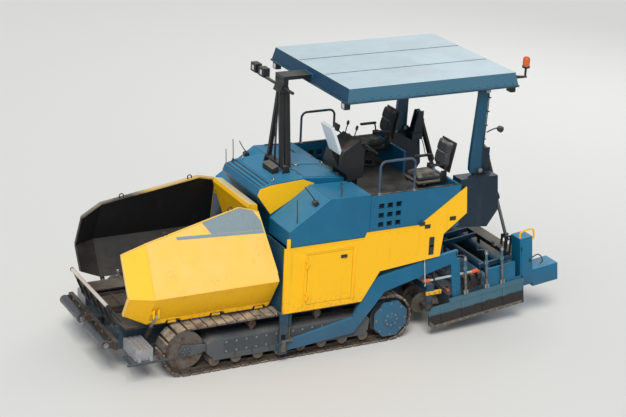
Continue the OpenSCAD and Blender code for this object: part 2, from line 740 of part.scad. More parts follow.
// A wing's section: its outer line from the hinge over the crease to a top, and its inner line.
// The corners are [y, z], with the plates' thickness measured level.
function wing_section(hinge, crease, top) =
  let(k1 = (crease[0] - hinge[0]) / (crease[1] - hinge[1]),
      k2 = (crease[0] - top[0]) / (top[1] - crease[1]),
      w1 = wing_t * sqrt(1 + k1 * k1),
      w2 = wing_t * sqrt(1 + k2 * k2),
      z = (crease[0] - w2 + k2 * crease[1] - hinge[0] + w1 + k1 * hinge[1]) / (k1 + k2))
  [hinge, crease, top, top - [w2, 0], [hinge[0] - w1 + k1 * (z - hinge[1]), z], hinge - [w1, 0]];
wing_k = (wing_crease_y - wing_top_y) / (wing_top_z - wing_crease_z);
wing_peak_y = wing_crease_y - wing_k * (wing_peak_z - wing_crease_z);
wing_outline = wing_section([wing_hinge_y, wing_hinge_z], [wing_crease_y, wing_crease_z],
                            [wing_peak_y, wing_peak_z]);
nose_turn = atan(nose_in / wing_nose_l);
// The nose carries the section on at an angle, narrowed so that both meet at the bend,
// and laps over the straight part by a seam
module wing_nose() {
  intersection() {
    translate([nose_x, 0, 0]) rotate([0, 0, -nose_turn])
      cross_sheet([for (p = wing_outline) [p[0] * cos(nose_turn), p[1]]], -wing_reach, wing_reach);
    side_sheet([[nose_x - seam, wing_hinge_z], [wing_x1, wing_hinge_z + nose_rise],
                [wing_x1, wing_top_z - nose_drop],
                [nose_x - seam, wing_top_z]], 0, wing_reach);
  }
}
wing_axis = [wing_hinge_y - 5, wing_hinge_z - 5];
knuckle_r = 24;
wing_pin_r = 12;
knuckle_l = 120;
wing_lug = 25;
knuckles = [wing_x0 + 160, wing_x0 + 800, wing_x0 + 1440];
// Pins of a wing's cylinder: on the frame, and on the wing
wing_cyl_x = idler_x + sprocket_r + 85;
wing_cyl_foot = [715, 430];
wing_cyl_head = [1090, 927];
wing_cyl_pin = 14;
wing_cyl_slack = 13;
wing_eye_wall = 8;
eye_t = 36;
module wing() {
  color(yellow) {
    difference() {
      union() {
        intersection() {
          cross_sheet(wing_outline, wing_x0, nose_x);
          side_sheet([[wing_x0, wing_hinge_z - 10], [nose_x, wing_hinge_z - 10], [nose_x, wing_top_z],
                      [wing_x0 + 400, wing_peak_z], [wing_x0 + 130, wing_rear_z],
                      [wing_x0, wing_crease_z + 70]], 0, wing_reach);
        }
        wing_nose();
      }
      // Notches that leave a tab at each hinge knuckle
      for (x = knuckles, e = [-1, 1])
        translate([x + e * (knuckle_l / 2 + wing_lug / 2 + 4)
                   - wing_lug / 2 - 8, wing_axis[0] - 70, wing_axis[1] - 40])
          cube([wing_lug + 16, 140, 110]);
      for (x = knuckles)
        rod_x(wing_axis[0], wing_axis[1], x - knuckle_l / 2 - 1, x + knuckle_l / 2 + 1,
              wing_pin_r + run_gap);
    }
    for (x = knuckles) difference() {
      rod_x(wing_axis[0], wing_axis[1], x - knuckle_l / 2, x + knuckle_l / 2, knuckle_r);
      rod_x(wing_axis[0], wing_axis[1], x - knuckle_l, x + knuckle_l, wing_pin_r + run_gap);
    }
    // Ears and pin of the cylinder
    rod_x(wing_cyl_head[0], wing_cyl_head[1], wing_cyl_x - eye_t / 2 - 25, wing_cyl_x + eye_t / 2 + 25,
          wing_cyl_pin);
    for (x = [wing_cyl_x - eye_t / 2 - 25, wing_cyl_x + eye_t / 2 + 7])
      cross_sheet([[wing_cyl_head[0] - 20, wing_cyl_head[1] + 30],
                   [wing_cyl_head[0] + 20, wing_cyl_head[1] - 25],
                   [wing_cyl_head[0] + 30, wing_cyl_head[1] + 110],
                     [wing_cyl_head[0] - 75, wing_cyl_head[1] + 30],
                   [wing_cyl_head[0] - 90, wing_cyl_head[1] - 20]], x, x + 18);
  }
}
module hopper_wing_left() wing();
module hopper_wing_right() mirror([0, 1, 0]) wing();
// Fixed lugs and pins of the wings' hinges, on the hopper's sloping shelves
module wing_lugs() {
  for (x = knuckles) {
    rod_x(wing_axis[0], wing_axis[1], x - knuckle_l / 2 - 4 - wing_lug, x + knuckle_l / 2 + 4 + wing_lug,
          wing_pin_r);
    for (e = [-1, 1])
      translate([e > 0 ? x + knuckle_l / 2 + 4 : x - knuckle_l / 2 - 4 - wing_lug, 0, 0])
        cross_sheet([[shelf_y - 60, wing_hinge_z - 78], [shelf_y, wing_hinge_z - 60],
                     [shelf_y + 8, wing_axis[1] - 22],
                     [wing_axis[0] + 20, wing_axis[1] - 22], [wing_axis[0] + 20, wing_axis[1] + 16],
                     [wing_axis[0] - 18, wing_axis[1] + 16],
                       [shelf_y - 60, wing_hinge_z - 40]], 0, wing_lug);
  }
}
wing_cyl_v = wing_cyl_head - wing_cyl_foot;
wing_cyl_l = norm(wing_cyl_v);
wing_cyl_r = 32;
wing_rod_r = 20;
// Turns a cylinder drawn up along Z from the origin so that it runs from the frame to the wing
module at_wing_cylinder() {
  translate([wing_cyl_x, wing_cyl_foot[0], wing_cyl_foot[1]])
    rotate([-atan2(wing_cyl_v[0], wing_cyl_v[1]), 0, 0]) children();
}
module wing_barrel() {
  color(black) at_wing_cylinder() difference() {
    union() {
      cylinder(r = wing_cyl_r, h = wing_cyl_l * 0.6);
      rotate([0, 90, 0]) translate([0, 0, -eye_t / 2]) cylinder(r = wing_cyl_r - 2, h = eye_t);
    }
    rotate([0, 90, 0]) translate([0, 0, -100]) cylinder(r = wing_cyl_pin + run_gap, h = 200);
    for (e = [-1, 1]) translate([e * (eye_t / 2 + 50) - 50, -60, -1]) cube([100, 120, 50]);
    translate([0, 0, 70]) cylinder(r = wing_rod_r + run_gap, h = wing_cyl_l);
  }
}
module wing_barrel_left() wing_barrel();
module wing_barrel_right() mirror([0, 1, 0]) wing_barrel();
module wing_rod() {
  color(steel) at_wing_cylinder() difference() {
    union() {
      translate([0, 0, wing_cyl_l * 0.32]) cylinder(r = wing_rod_r, h = wing_cyl_l * 0.68 - 25);
      translate([0, 0, wing_cyl_l]) rotate([0, 90, 0]) translate([0, 0, -eye_t / 2])
        cylinder(r = wing_cyl_pin + wing_cyl_slack + wing_eye_wall, h = eye_t);
    }
    translate([0, 0, wing_cyl_l]) rotate([0, 90, 0]) translate([0, 0, -100])
      cylinder(r = wing_cyl_pin + wing_cyl_slack, h = 200);
  }
}
module wing_rod_left() wing_rod();
module wing_rod_right() mirror([0, 1, 0]) wing_rod();
module wing_cylinder_feet() {
  both_sides() {
    rod_x(wing_cyl_foot[0], wing_cyl_foot[1], wing_cyl_x - eye_t / 2 - 25, wing_cyl_x + eye_t / 2 + 25,
          wing_cyl_pin);
    for (x = [wing_cyl_x - eye_t / 2 - 25, wing_cyl_x + eye_t / 2 + 7])
      block([x, side_out, wing_cyl_foot[1] - 50], [x + 18, wing_cyl_foot[0] + 25, wing_cyl_foot[1] + 30]);
  }
}

// Front apron and push beam

apron_axis = [frame_x1 + 45, 655];
apron_w = 640;
apron_h = 330;
apron_lean = 130;
apron_ear = 20;
module front_apron() {
  color(black) difference() {
    union() {
      intersection() {
        side_sheet([[apron_axis[0] - 12, apron_axis[1]], [apron_axis[0] + 12, apron_axis[1]],
                    [apron_axis[0] + apron_lean + 12, apron_axis[1] + apron_h],
                    [apron_axis[0] + apron_lean - 12, apron_axis[1] + apron_h]], -apron_w - 160,
                      apron_w + 160);
        cross_sheet([[-apron_w, apron_axis[1] - 50], [apron_w, apron_axis[1] - 50],
                     [apron_w, apron_axis[1] + 50],
                     [apron_w + 70, apron_axis[1] + apron_h + 50],
                       [-apron_w - 70, apron_axis[1] + apron_h + 50],
                     [-apron_w, apron_axis[1] + 50]], apron_axis[0] - 50, apron_axis[0] + apron_lean + 50);
      }
      rod_y(apron_axis[0] + apron_lean, apron_axis[1] + apron_h, -apron_w, apron_w, 22);
      rod_y(apron_axis[0], apron_axis[1], -apron_w, apron_w, 24);
    }
    rod_y(apron_axis[0], apron_axis[1], -apron_w - 300, apron_w + 300, wing_pin_r + run_gap);
  }
}
module apron_lugs() {
  rod_y(apron_axis[0], apron_axis[1], -apron_w - apron_ear, apron_w + apron_ear, wing_pin_r);
  both_sides()
    side_sheet([[frame_x1 - 10, floor_z - 20], [frame_x1, floor_z - 60],
                [apron_axis[0] + 20, apron_axis[1] - 20],
                [apron_axis[0] + 20, apron_axis[1] + 18], [apron_axis[0] - 20, apron_axis[1] + 20],
                  [frame_x1 - 10, floor_z + 30]],
               apron_w + seat_gap, apron_w + apron_ear);
}
push_z = 500;
push_x = frame_x1 + 130;
push_half = 900;
push_pin_r = 25;
push_axis_x = frame_x1 + 255;
push_rollers_y = [110, 820];
push_ear = 25;
module push_beam() {
  color(black) difference() {
    union() {
      block([push_x - 30, -push_half, push_z - 60], [push_x + 30, push_half, push_z + 60]);
      block([frame_x1 + 20, -60, push_z - 69.7], [push_x - 30, 60, push_z + 69.7]);
      both_sides() for (y = [push_rollers_y[0] - push_ear - 5, push_rollers_y[1] + 5])
        side_sheet([[push_x + 30, push_z - 55], [push_axis_x, push_z - 35], [push_axis_x + 35, push_z - 20],
                    [push_axis_x + 35, push_z + 20], [push_axis_x, push_z + 35],
                      [push_x + 30, push_z + 55]], y, y + push_ear);
      both_sides() rod_y(push_axis_x, push_z, push_rollers_y[0] - push_ear - 5,
                         push_rollers_y[1] + 5 + push_ear, 18);
    }
    translate([frame_x1 + 55, 0, 0]) cylinder(r = push_pin_r + run_gap, h = 1000);
  }
}
module push_roller() {
  color(steel) difference() {
    rod_y(push_axis_x, push_z, push_rollers_y[0], push_rollers_y[1], push_roller_r);
    rod_y(push_axis_x, push_z, 0, push_half, 18 + run_gap);
  }
}
module push_roller_left() push_roller();
module push_roller_right() mirror([0, 1, 0]) push_roller();

// Augers behind the tracks, on a frame that moves up and down on two rails

auger_x = frame_x0 - auger_r - pass_gap;
auger_y0 = 110;
auger_y1 = 1115;
auger_pitch = (auger_y1 - auger_y0) / auger_turns;
auger_steps = 20;
flight_t = 16;
// The flights are clamped on the shaft, so the flats of their inner edge just clear it
flight_in = (auger_shaft_r + seat_gap) / cos(180 / auger_steps);
auger_beam_z = auger_z + auger_r + 45;
module auger_frame() {
  color(dark_teal) {
    block([auger_x - 60, -auger_y1 - 35, auger_beam_z], [auger_x + 60, auger_y1 + 35, auger_beam_z + 100]);
    both_sides() {
      difference() {
        block([auger_x - 50, auger_y1 + 5, auger_z - 60], [auger_x + 50, auger_y1 + 30, auger_beam_z]);
        rod_y(auger_x, auger_z, auger_y1, auger_y1 + 60, auger_shaft_r + run_gap);
      }
      block([auger_x + 60, side_y - 40, auger_beam_z + 10],
            [frame_x0 - auger_rail - seat_gap, side_out + 5, auger_beam_z + 90]);
    }
    difference() {
      block([auger_x - 90, -auger_y0 + 20, auger_z - 110],
            [auger_x + 90, auger_y0 - 20, auger_beam_z + 60]);
      rod_y(auger_x, auger_z, -300, 300, auger_shaft_r + run_gap);
    }
  }
  color(yellow) both_sides()
    block([auger_x - 190, auger_y1 + 10, auger_beam_z - 60], [auger_x + 60, auger_y1 + 34, auger_beam_z]);
}
// A flight whose outer edge is a helix round the shaft, closed at both ends
module flight() {
  n = ceil(auger_turns * auger_steps);
  function ring(k) =
    let(a = 360 * k / auger_steps, y = auger_y0 + 15 + k * (auger_y1 - auger_y0 - 30 - flight_t) / n)
    [for (q = [[flight_in, 0], [auger_r, 0], [auger_r, flight_t], [flight_in, flight_t]])
       [q[0] * cos(a), y + q[1], q[0] * sin(a)]];
  pts = [for (k = [0:n]) each ring(k)];
  walls = [for (k = [0:n - 1], q = [0:3]) let(i = 4 * k + q, j = 4 * k + (q + 1) % 4)
             each [[i, j + 4, j], [i, i + 4, j + 4]]];
  translate([auger_x, 0, auger_z])
    polyhedron(pts, concat(walls, [[0, 1, 2, 3], [4 * n + 3, 4 * n + 2, 4 * n + 1, 4 * n]]));
}
module auger_left() {
  color(steel) {
    rod_y(auger_x, auger_z, auger_y0 - 70, auger_y1 + 25, auger_shaft_r);
    flight();
  }
}
module auger_right() mirror([0, 1, 0]) auger_left();

// Tow points: blocks that slide up and down on the columns, and the arms of the screed

tow_pin_r = 30;
tow_travel = 150;
rail_w = 26;
shoe_half = 36;
column_y0 = arm_y1 + 5;
level_x = tow_x - 110;
level_r = 32;
level_rod_r = 16;
level_lift = 98;
// Two rails under the side panel, and the levelling cylinder's barrel behind them
module tow_column() {
  low = tow_z - 90;
  difference() {
    block([tow_x - shoe_half - rail_w, column_y0, low],
          [tow_x + shoe_half + rail_w, panel_y, panel_z - seat_gap]);
    block([tow_x - shoe_half, column_y0 - 1, low + 30],
          [tow_x + shoe_half, panel_y + 1, tow_z + tow_travel + 60]);
  }
  block([tow_x - shoe_half - rail_w, track_out + 3, panel_z - 30],
        [tow_x + shoe_half + rail_w, column_y0, panel_z - seat_gap]);
  block([level_x - 40, track_out - 10, panel_z - seat_gap],
        [panel_x - 10, body_y - seat_gap, panel_z + 20]);
  difference() {
    translate([level_x, (arm_y0 + arm_y1) / 2, tow_z + level_lift + 192]) cylinder(r = level_r, h = 270);
    translate([level_x, (arm_y0 + arm_y1) / 2, tow_z]) cylinder(r = level_rod_r + run_gap, h = 770);
  }
}
module tow_blocks() {
  color(steel) both_sides() {
    rod_y(tow_x, tow_z, track_out + 2, panel_y + 8, tow_pin_r);
    block([tow_x - shoe_half + run_gap, column_y0, tow_z - 50],
          [tow_x + shoe_half - run_gap, panel_y + 1, tow_z + 50]);
    block([tow_x - 30, panel_y + run_gap, tow_z - 50], [tow_x + 30, panel_y + 12, tow_z + level_lift + 32]);
    block([level_x - 32, panel_y + run_gap, tow_z + level_lift],
          [tow_x - 30, panel_y + 12, tow_z + level_lift + 32]);
    block([level_x - 32, arm_y0 + 10, tow_z + level_lift],
          [level_x + 30, panel_y + 1, tow_z + level_lift + 32]);
    translate([level_x, (arm_y0 + arm_y1) / 2, tow_z + level_lift + 1]) cylinder(r = level_rod_r, h = 260);
  }
}
// Work position of the screed: level, its soles sole_drop below the tow point
sole_z = tow_z - sole_drop;
module lifted() {
  translate([tow_x, 0, tow_z]) rotate([0, screed_lift, 0]) translate([-tow_x, 0, -tow_z]) children();
}
arm_low = [[1066, -58], [-87, -86], [-617, 407], [-1138, 479], [-1790, 560]];
arm_up = [[-1830, 731], [-1144, 710], [-411, 632], [-94, 145], [1053, 62]];
module tow_arms() {
  color(teal) lifted() both_sides() difference() {
    union() {
      side_sheet([for (p = concat(arm_low, arm_up)) [p[0] + tow_x - 1020, p[1] + tow_z]], arm_y0, arm_y1);
      rod_y(tow_x, tow_z, arm_y0, arm_y1, 66);
      side_sheet([[-1700, tow_z + 600], [-1850, tow_z + 600], [-1850, sole_z + 100], [-1720, sole_z + 100]],
                 base_y + seat_gap, base_y + 36);
    }
    rod_y(tow_x, tow_z, arm_y0 - 10, arm_y1 + 10, tow_pin_r + run_gap);
  }
}
base_y = base_w / 2 - 45;
base_x1 = -1720;
base_x0 = base_x1 - base_d;
base_h = 420;
sole_t = 40;
ext_x1 = base_x0 - 30;
ext_x0 = ext_x1 - ext_d;
guide_z = sole_z + 600;
guide_xs = [ext_x1 - 90, ext_x0 + 100];
guide_wall = 16;
beam_low = guide_z + guide_r + guide_wall - 5;
beam_high = guide_z + guide_r + guide_wall + 60;
module screed_base() {
  color(dark_teal) lifted() {
    y = base_y;
    // Sole plate, mouldboard and frame
    block([base_x0, -y, sole_z], [base_x1, y, sole_z + sole_t]);
    side_sheet([[base_x1 - 30, sole_z + sole_t], [base_x1, sole_z + sole_t],
                [base_x1 + 60, sole_z + base_h],
                [base_x1 + 30, sole_z + base_h]], -y, y);
    block([base_x0, -y, sole_z + sole_t], [base_x0 + 20, y, sole_z + base_h]);
    block([base_x0 + 20, -y, sole_z + base_h - 20], [base_x1 + 30, y, sole_z + base_h]);
    both_sides() {
      block([base_x0 + 20, y - 20, sole_z + sole_t], [base_x1 - 30, y, sole_z + base_h - 20]);
      block([base_x0 + 20, 200, sole_z + sole_t], [base_x1 - 30, 220, sole_z + base_h - 20]);
    }
    // Beams to the rear that carry the guide tubes
    for (s = [-1, 1])
      for (yb = [s * 120 - 20, s * (y - 90) - 20])
        block([ext_x0 - 20, yb, beam_low], [base_x0 + 20, yb + 40, beam_high]);
    for (yb = [-140, 100, -y + 70, y - 110])
      block([base_x0, yb, sole_z + base_h], [base_x0 + 20, yb + 40, beam_high]);
    difference() {
      union() {
        rod_y(guide_xs[0], guide_z, -y, y - 60, guide_r + guide_wall);
        rod_y(guide_xs[1], guide_z, -y + 60, y, guide_r + guide_wall);
      }
      for (x = guide_xs) rod_y(x, guide_z, -y - 10, y + 10, guide_r + run_gap);
    }
  }
}
ext_h = 330;
gate_y0 = base_w / 2 + 12;
gate_y1 = gate_y0 + gate_t;
// The steps reach the machine's rear end when the screed is lifted
step_low = sole_z + 200;
step_x0 = tow_x - (push_axis_x + push_roller_r + tow_x + (step_low - tow_z) * sin(screed_lift)) / cos(screed_lift);
module screed_extension(rod_x_place) {
  color(teal) lifted() {
    y1 = gate_y0 - seat_gap;
    block([ext_x0, 20, sole_z], [ext_x1, y1, sole_z + sole_t]);
    block([ext_x1 - 30, 20, sole_z + sole_t], [ext_x1, y1, sole_z + ext_h]);
    block([ext_x0, 20, sole_z + sole_t], [ext_x0 + 20, y1, sole_z + ext_h]);
    block([ext_x0 + 20, 20, sole_z + ext_h - 20], [ext_x1 - 30, y1, sole_z + ext_h]);
    // End plate with the guide rod
    block([ext_x0, y1 - 25, sole_z + sole_t], [ext_x1, y1, guide_z + 80]);
    rod_y(rod_x_place, guide_z, -base_w / 2 + 160, y1 - 20, guide_r);
    // Outer cabinet with its step
    block([ext_x0 - 300, y1 - 235, sole_z + 248], [ext_x0 - 90, y1, sole_z + 1000]);
    block([ext_x0 - 90, y1 - 25, sole_z + 248], [ext_x0, y1, sole_z + 420]);
    block([step_x0, y1 - 300, sole_z + 430], [ext_x0 - 300, y1, sole_z + 470]);
    block([step_x0 + 60, y1 - 300, step_low], [ext_x0 - 300, y1, sole_z + 230]);
    block([step_x0, y1 - 30, step_low], [ext_x0 - 300, y1, sole_z + 430]);
  }
}
module screed_extension_left() screed_extension(guide_xs[0]);
module screed_extension_right() mirror([0, 1, 0]) screed_extension(guide_xs[1]);
gate_x1 = -1284;
gate_x0 = ext_x0 - 120;
gate_h = 330;
spindle_r = 19;
spindles = [-1913, -2269, -2533];
module end_gate() {
  lifted() {
    color(black)
      side_sheet([[gate_x0, sole_z], [gate_x1 - 60, sole_z], [gate_x1, sole_z + 60],
                  [gate_x1, sole_z + gate_h - 80],
                  [gate_x1 - 80, sole_z + gate_h], [gate_x0, sole_z + gate_h]], gate_y0, gate_y1);
    color(teal) {
      block([gate_x0, gate_y0, sole_z + gate_h], [gate_x1 - 350, gate_y1 + 8, sole_z + gate_h + 60]);
      for (x = spindles)
        translate([x, gate_y0 + spindle_r + seat_gap, sole_z + gate_h + 60])
          cylinder(r = spindle_r, h = 590);
    }
  }
}
module end_gate_left() end_gate();
module end_gate_right() mirror([0, 1, 0]) end_gate();
walk_y = base_w / 2 - 325;
module screed_walkway() {
  color(black) lifted() {
    block([ext_x0 - 500, -walk_y, sole_z + 440], [ext_x0 - 60, walk_y, sole_z + 470]);
    block([ext_x0 - 80, -lift_y - 60, beam_low], [ext_x0 - 20, lift_y + 60, beam_high]);
    both_sides()
      for (yb = [100, walk_y - 120])
        block([ext_x0 - 80, yb, sole_z + 440], [ext_x0 - 60, yb + 60, beam_low]);
  }
  color(black) both_sides() lift_lugs();
}
// Plates on the screed with upright slots, in which the lift rods' pins rest and may float
module lift_lugs() {
  for (e = [-1, 1]) difference() {
    translate([0, lift_y + e * (lift_rod_r + 26) - 12, 0]) rotate([90, 0, 0]) mirror([0, 0, 1])
      linear_extrude(24)
      polygon([[lift_low[0] - 55, lift_low[1] - float_way - 70],
               [lift_low[0] + 60, lift_low[1] - float_way - 70],
               [lift_low[0] + 60, lift_low[1] + 55], [lift_low[0] - 60, lift_low[1] + 55]]);
    for (z = [lift_low[1], lift_low[1] - float_way])
      rod_y(lift_low[0], z, lift_y - 200, lift_y + 200, lift_pin_r + lift_slack);
    block([lift_low[0] - lift_pin_r - lift_slack, lift_y - 200, lift_low[1] - float_way],
          [lift_low[0] + lift_pin_r + lift_slack, lift_y + 200, lift_low[1]]);
  }
}

// Lift cylinders of the screed

lift_top = [housing_x0 + 120, housing_top + 310];
lift_low = [-2740, 1210];
lift_v = lift_low - lift_top;
lift_l = norm(lift_v);
lift_rod_r = 24;
lift_pin_r = 18;
lift_eye_t = 40;
lift_slack = 12;
float_way = 160;
module at_lift_cylinder() {
  translate([lift_top[0], lift_y, lift_top[1]])
    rotate([0, atan2(-lift_v[0], -lift_v[1]), 0]) rotate([180, 0, 0]) children();
}
module lift_barrels() {
  color(black) both_sides() at_lift_cylinder() difference() {
    union() {
      cylinder(r = lift_barrel_r, h = lift_l * 0.55);
      rotate([90, 0, 0]) translate([0, 0, -lift_eye_t / 2]) cylinder(r = 42, h = lift_eye_t);
    }
    rotate([90, 0, 0]) translate([0, 0, -100]) cylinder(r = lift_pin_r + run_gap, h = 200);
    for (e = [-1, 1]) translate([-60, e * (lift_eye_t / 2 + 50) - 50, -60]) cube([120, 100, 120]);
    translate([0, 0, 90]) cylinder(r = lift_rod_r + run_gap, h = lift_l);
  }
}
module lift_rods() {
  color(steel) both_sides() at_lift_cylinder() {
    translate([0, 0, lift_l * 0.35]) cylinder(r = lift_rod_r, h = lift_l * 0.65 + 30);
    translate([0, 0, lift_l]) rotate([90, 0, 0]) translate([0, 0, -60]) cylinder(r = lift_pin_r, h = 120);
  }
}
module lift_heads() {
  both_sides() {
    rod_y(lift_top[0], lift_top[1], lift_y - lift_barrel_r - 26, lift_y + lift_barrel_r + 26, lift_pin_r);
    for (y = [lift_y - lift_barrel_r - 26, lift_y + lift_barrel_r + 10])
      side_sheet([[lift_top[0] + 130, housing_top - 30], [lift_top[0] - 35, housing_top - 30],
                  [lift_top[0] - 45, lift_top[1] - 20], [lift_top[0] - 45, lift_top[1] + 40],
                  [lift_top[0] + 45, lift_top[1] + 40]], y, y + 16);
    block([lift_top[0] - 40, lift_y - lift_barrel_r - 38, housing_top - 90],
          [lift_top[0] + 140, lift_y + lift_barrel_r + 30, housing_top + 12]);
  }
}

chassis_frame();
engine_block();
hopper_floor();
hopper_rear_wall();
conveyor_slats();
tracks();
track_frames();
track_rollers();
drive_sprockets();
hood();
hood_cheeks();
shoulders();
platform_body();
platform_deck();
rear_housings();
side_panels();
side_door_left();
side_door_right();
handrails();
operator_seats();
operator_console();
canopy_feet();
canopy_rear_posts();
canopy_front_frame();
canopy_frame();
canopy_roof();
work_lamps();
beacon();
hopper_wing_left();
hopper_wing_right();
wing_barrel_left();
wing_barrel_right();
wing_rod_left();
wing_rod_right();
front_apron();
push_beam();
push_roller_left();
push_roller_right();
auger_frame();
auger_left();
auger_right();
tow_blocks();
tow_arms();
screed_base();
screed_walkway();
screed_extension_left();
screed_extension_right();
end_gate_left();
end_gate_right();
lift_barrels();
lift_rods();
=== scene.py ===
import json
import math

import bmesh
import bpy
import numpy as np
from mathutils import Matrix, Quaternion, Vector

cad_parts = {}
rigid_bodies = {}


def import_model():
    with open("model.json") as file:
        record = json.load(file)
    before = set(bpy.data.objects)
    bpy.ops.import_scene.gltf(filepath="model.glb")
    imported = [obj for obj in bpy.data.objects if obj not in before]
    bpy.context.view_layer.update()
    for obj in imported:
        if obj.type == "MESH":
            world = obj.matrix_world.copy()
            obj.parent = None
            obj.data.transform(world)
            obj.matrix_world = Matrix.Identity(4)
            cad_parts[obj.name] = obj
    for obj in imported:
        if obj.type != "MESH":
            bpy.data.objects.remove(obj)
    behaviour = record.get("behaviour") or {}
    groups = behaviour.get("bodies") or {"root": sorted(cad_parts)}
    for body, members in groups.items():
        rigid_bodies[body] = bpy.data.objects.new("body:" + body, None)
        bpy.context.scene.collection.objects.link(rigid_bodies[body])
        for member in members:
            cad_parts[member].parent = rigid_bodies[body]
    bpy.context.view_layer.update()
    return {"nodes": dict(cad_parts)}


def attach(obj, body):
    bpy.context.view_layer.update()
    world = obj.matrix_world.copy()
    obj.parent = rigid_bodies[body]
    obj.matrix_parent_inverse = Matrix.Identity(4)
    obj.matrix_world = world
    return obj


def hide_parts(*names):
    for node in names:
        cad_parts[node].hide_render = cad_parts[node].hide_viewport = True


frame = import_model()
print("frame loaded:", len(frame["nodes"]), "solids")


# Shader maths

class Socket:
    # An output of a shader node. Python's operators on it add Math nodes.
    def __init__(self, finish, output):
        self.finish, self.output = finish, output

    def out(self, name):
        return Socket(self.finish, self.output.node.outputs[name])

    def calc(self, operation, *others, swap=False):
        terms = [self, *others]
        return self.finish.node("ShaderNodeMath", {"operation": operation},
                                terms[::-1] if swap else terms)

    def __add__(self, other):
        return self.calc("ADD", other)

    def __sub__(self, other):
        return self.calc("SUBTRACT", other)

    def __rsub__(self, other):
        return self.calc("SUBTRACT", other, swap=True)

    def __mul__(self, other):
        return self.calc("MULTIPLY", other)

    def __abs__(self):
        return self.calc("ABSOLUTE")

    __radd__ = __add__
    __rmul__ = __mul__

    def sine(self):
        return self.calc("SINE")

    def most(self, other):
        return self.calc("MAXIMUM", other)

    def rise(self, start, end):
        # 0 below start, 1 above end, smooth in between
        return self.finish.node("ShaderNodeMapRange", {"interpolation_type": "SMOOTHSTEP"},
                                {"Value": self, "From Min": start, "From Max": end})

    def within(self, low, high, soft):
        # 1 from low to high, 0 outside
        return self.rise(low - soft, low + soft) * (1 - self.rise(high - soft, high + soft))


class Finish:
    # A material under way, with short calls for the nodes it is made of
    def __init__(self, name):
        self.material = bpy.data.materials.new(name)
        self.material.use_nodes = True
        self.tree = self.material.node_tree
        self.tree.nodes.clear()
        coordinates = self.node("ShaderNodeTexCoord")
        self.place = coordinates.out("Object")
        self.x, self.y, self.z = self.parts(self.place)
        self.nx, self.ny, self.nz = self.parts(coordinates.out("Normal"))

    def node(self, kind, settings=None, values=()):
        made = self.tree.nodes.new(kind)
        for key, value in (settings or {}).items():
            setattr(made, key, value)
        for key, value in values.items() if isinstance(values, dict) else enumerate(values):
            if isinstance(value, Socket):
                self.tree.links.new(value.output, made.inputs[key])
            else:
                made.inputs[key].default_value = value
        return Socket(self, made.outputs[0]) if made.outputs else None

    def parts(self, vector):
        split = self.node("ShaderNodeSeparateXYZ", None, [vector])
        return split, split.out("Y"), split.out("Z")

    def stretched(self, amounts):
        return self.node("ShaderNodeVectorMath", {"operation": "MULTIPLY"}, [self.place, amounts])

    def noise(self, scale, detail=3.0, rough=0.55, stretch=None):
        where = self.stretched(stretch) if stretch else self.place
        return self.node("ShaderNodeTexNoise", None,
                         {"Vector": where, "Scale": scale, "Detail": detail, "Roughness": rough})

    def cells(self, scale):
        return self.node("ShaderNodeTexVoronoi", None, {"Vector": self.place, "Scale": scale})

    def mix(self, factor, first, second):
        # first where factor is 0, second where it is 1
        first, second = [c if isinstance(c, Socket) else (*c, 1.0) for c in (first, second)]
        mixed = self.node("ShaderNodeMix", {"data_type": "RGBA"}, {0: factor, 6: first, 7: second})
        return Socket(self, mixed.output.node.outputs[2])

    def bump(self, height, depth):
        return self.node("ShaderNodeBump", None, {"Height": height, "Distance": depth})

    def surface(self, **sockets):
        shader = self.node("ShaderNodeBsdfPrincipled", None,
                           {key.replace("_", " "): (*value, 1.0) if isinstance(value, tuple) else value
                            for key, value in sockets.items()})
        self.node("ShaderNodeOutputMaterial", None, {"Surface": shader})
        return self.material


def tint(red, green, blue):
    # A screen colour, 0 to 255, as the linear values that sockets take
    c = np.array([red, green, blue]) / 255
    return tuple(float(v) for v in np.where(c <= 0.04045, c / 12.92, ((c + 0.055) / 1.055) ** 2.4))


# Finishes

dustColour = tint(196, 186, 168)
mudColour = tint(92, 80, 68)
# tar, and also the painted shade inside the hopper wings
tarAndShadeColour = tint(22, 21, 21)
chipColour = tint(96, 74, 58)
oldRustColour = tint(60, 38, 26)
soilTop = 1.3  # the height where mud on the paint thins out


def paint(name, colour, worn, dust=0.16, grime=0.5, rough=0.42, coat=0.12, extra=None):
    # Sprayed steel: the colour fades a little in broad clouds, dust lies where the face looks up,
    # rain has drawn streaks down the walls, and mud and tar thicken towards the ground
    f = Finish(name)
    clouds = f.noise(1.7, 4, 0.6)
    grain = f.noise(140, 2)
    speck = f.noise(26, 5, 0.7)
    streak = f.noise(9, 3, 0.6, (1.0, 1.0, 0.09))
    up = f.nz.rise(0.1, 0.9)
    low = 1 - f.z.rise(0.25, soilTop)
    base = f.mix(clouds.rise(0.35, 0.7) * 0.35, colour, worn)
    if extra:
        base = extra(f, base)
    dustOn = up * clouds.rise(0.25, 0.75) * dust + up * speck.rise(0.55, 0.8) * dust * 0.5
    streaksOn = streak.rise(0.56, 0.78) * (1 - up) * grime * 0.35
    mudOn = (speck + low * 0.34).rise(0.62, 0.82) * low * grime
    chipOn = (f.cells(31) * -1.0 + f.noise(5, 3)).rise(0.36, 0.4) * (0.25 + low * 0.5) * grime
    shade = f.mix(dustOn, base, dustColour)
    shade = f.mix(streaksOn, shade, mudColour)
    shade = f.mix(mudOn, shade, mudColour)
    shade = f.mix(chipOn, shade, chipColour)
    roughness = rough + dustOn * 0.35 + mudOn * 0.4 + streaksOn * 0.25 + grain * 0.06
    return f.surface(Base_Color=shade, Roughness=roughness, Coat_Weight=(1 - dustOn.most(mudOn)) * coat,
                     Coat_Roughness=0.12, Specular_IOR_Level=0.32,
                     Normal=f.bump(grain * 0.3 + speck * 0.7 + mudOn * 4, 0.0006))


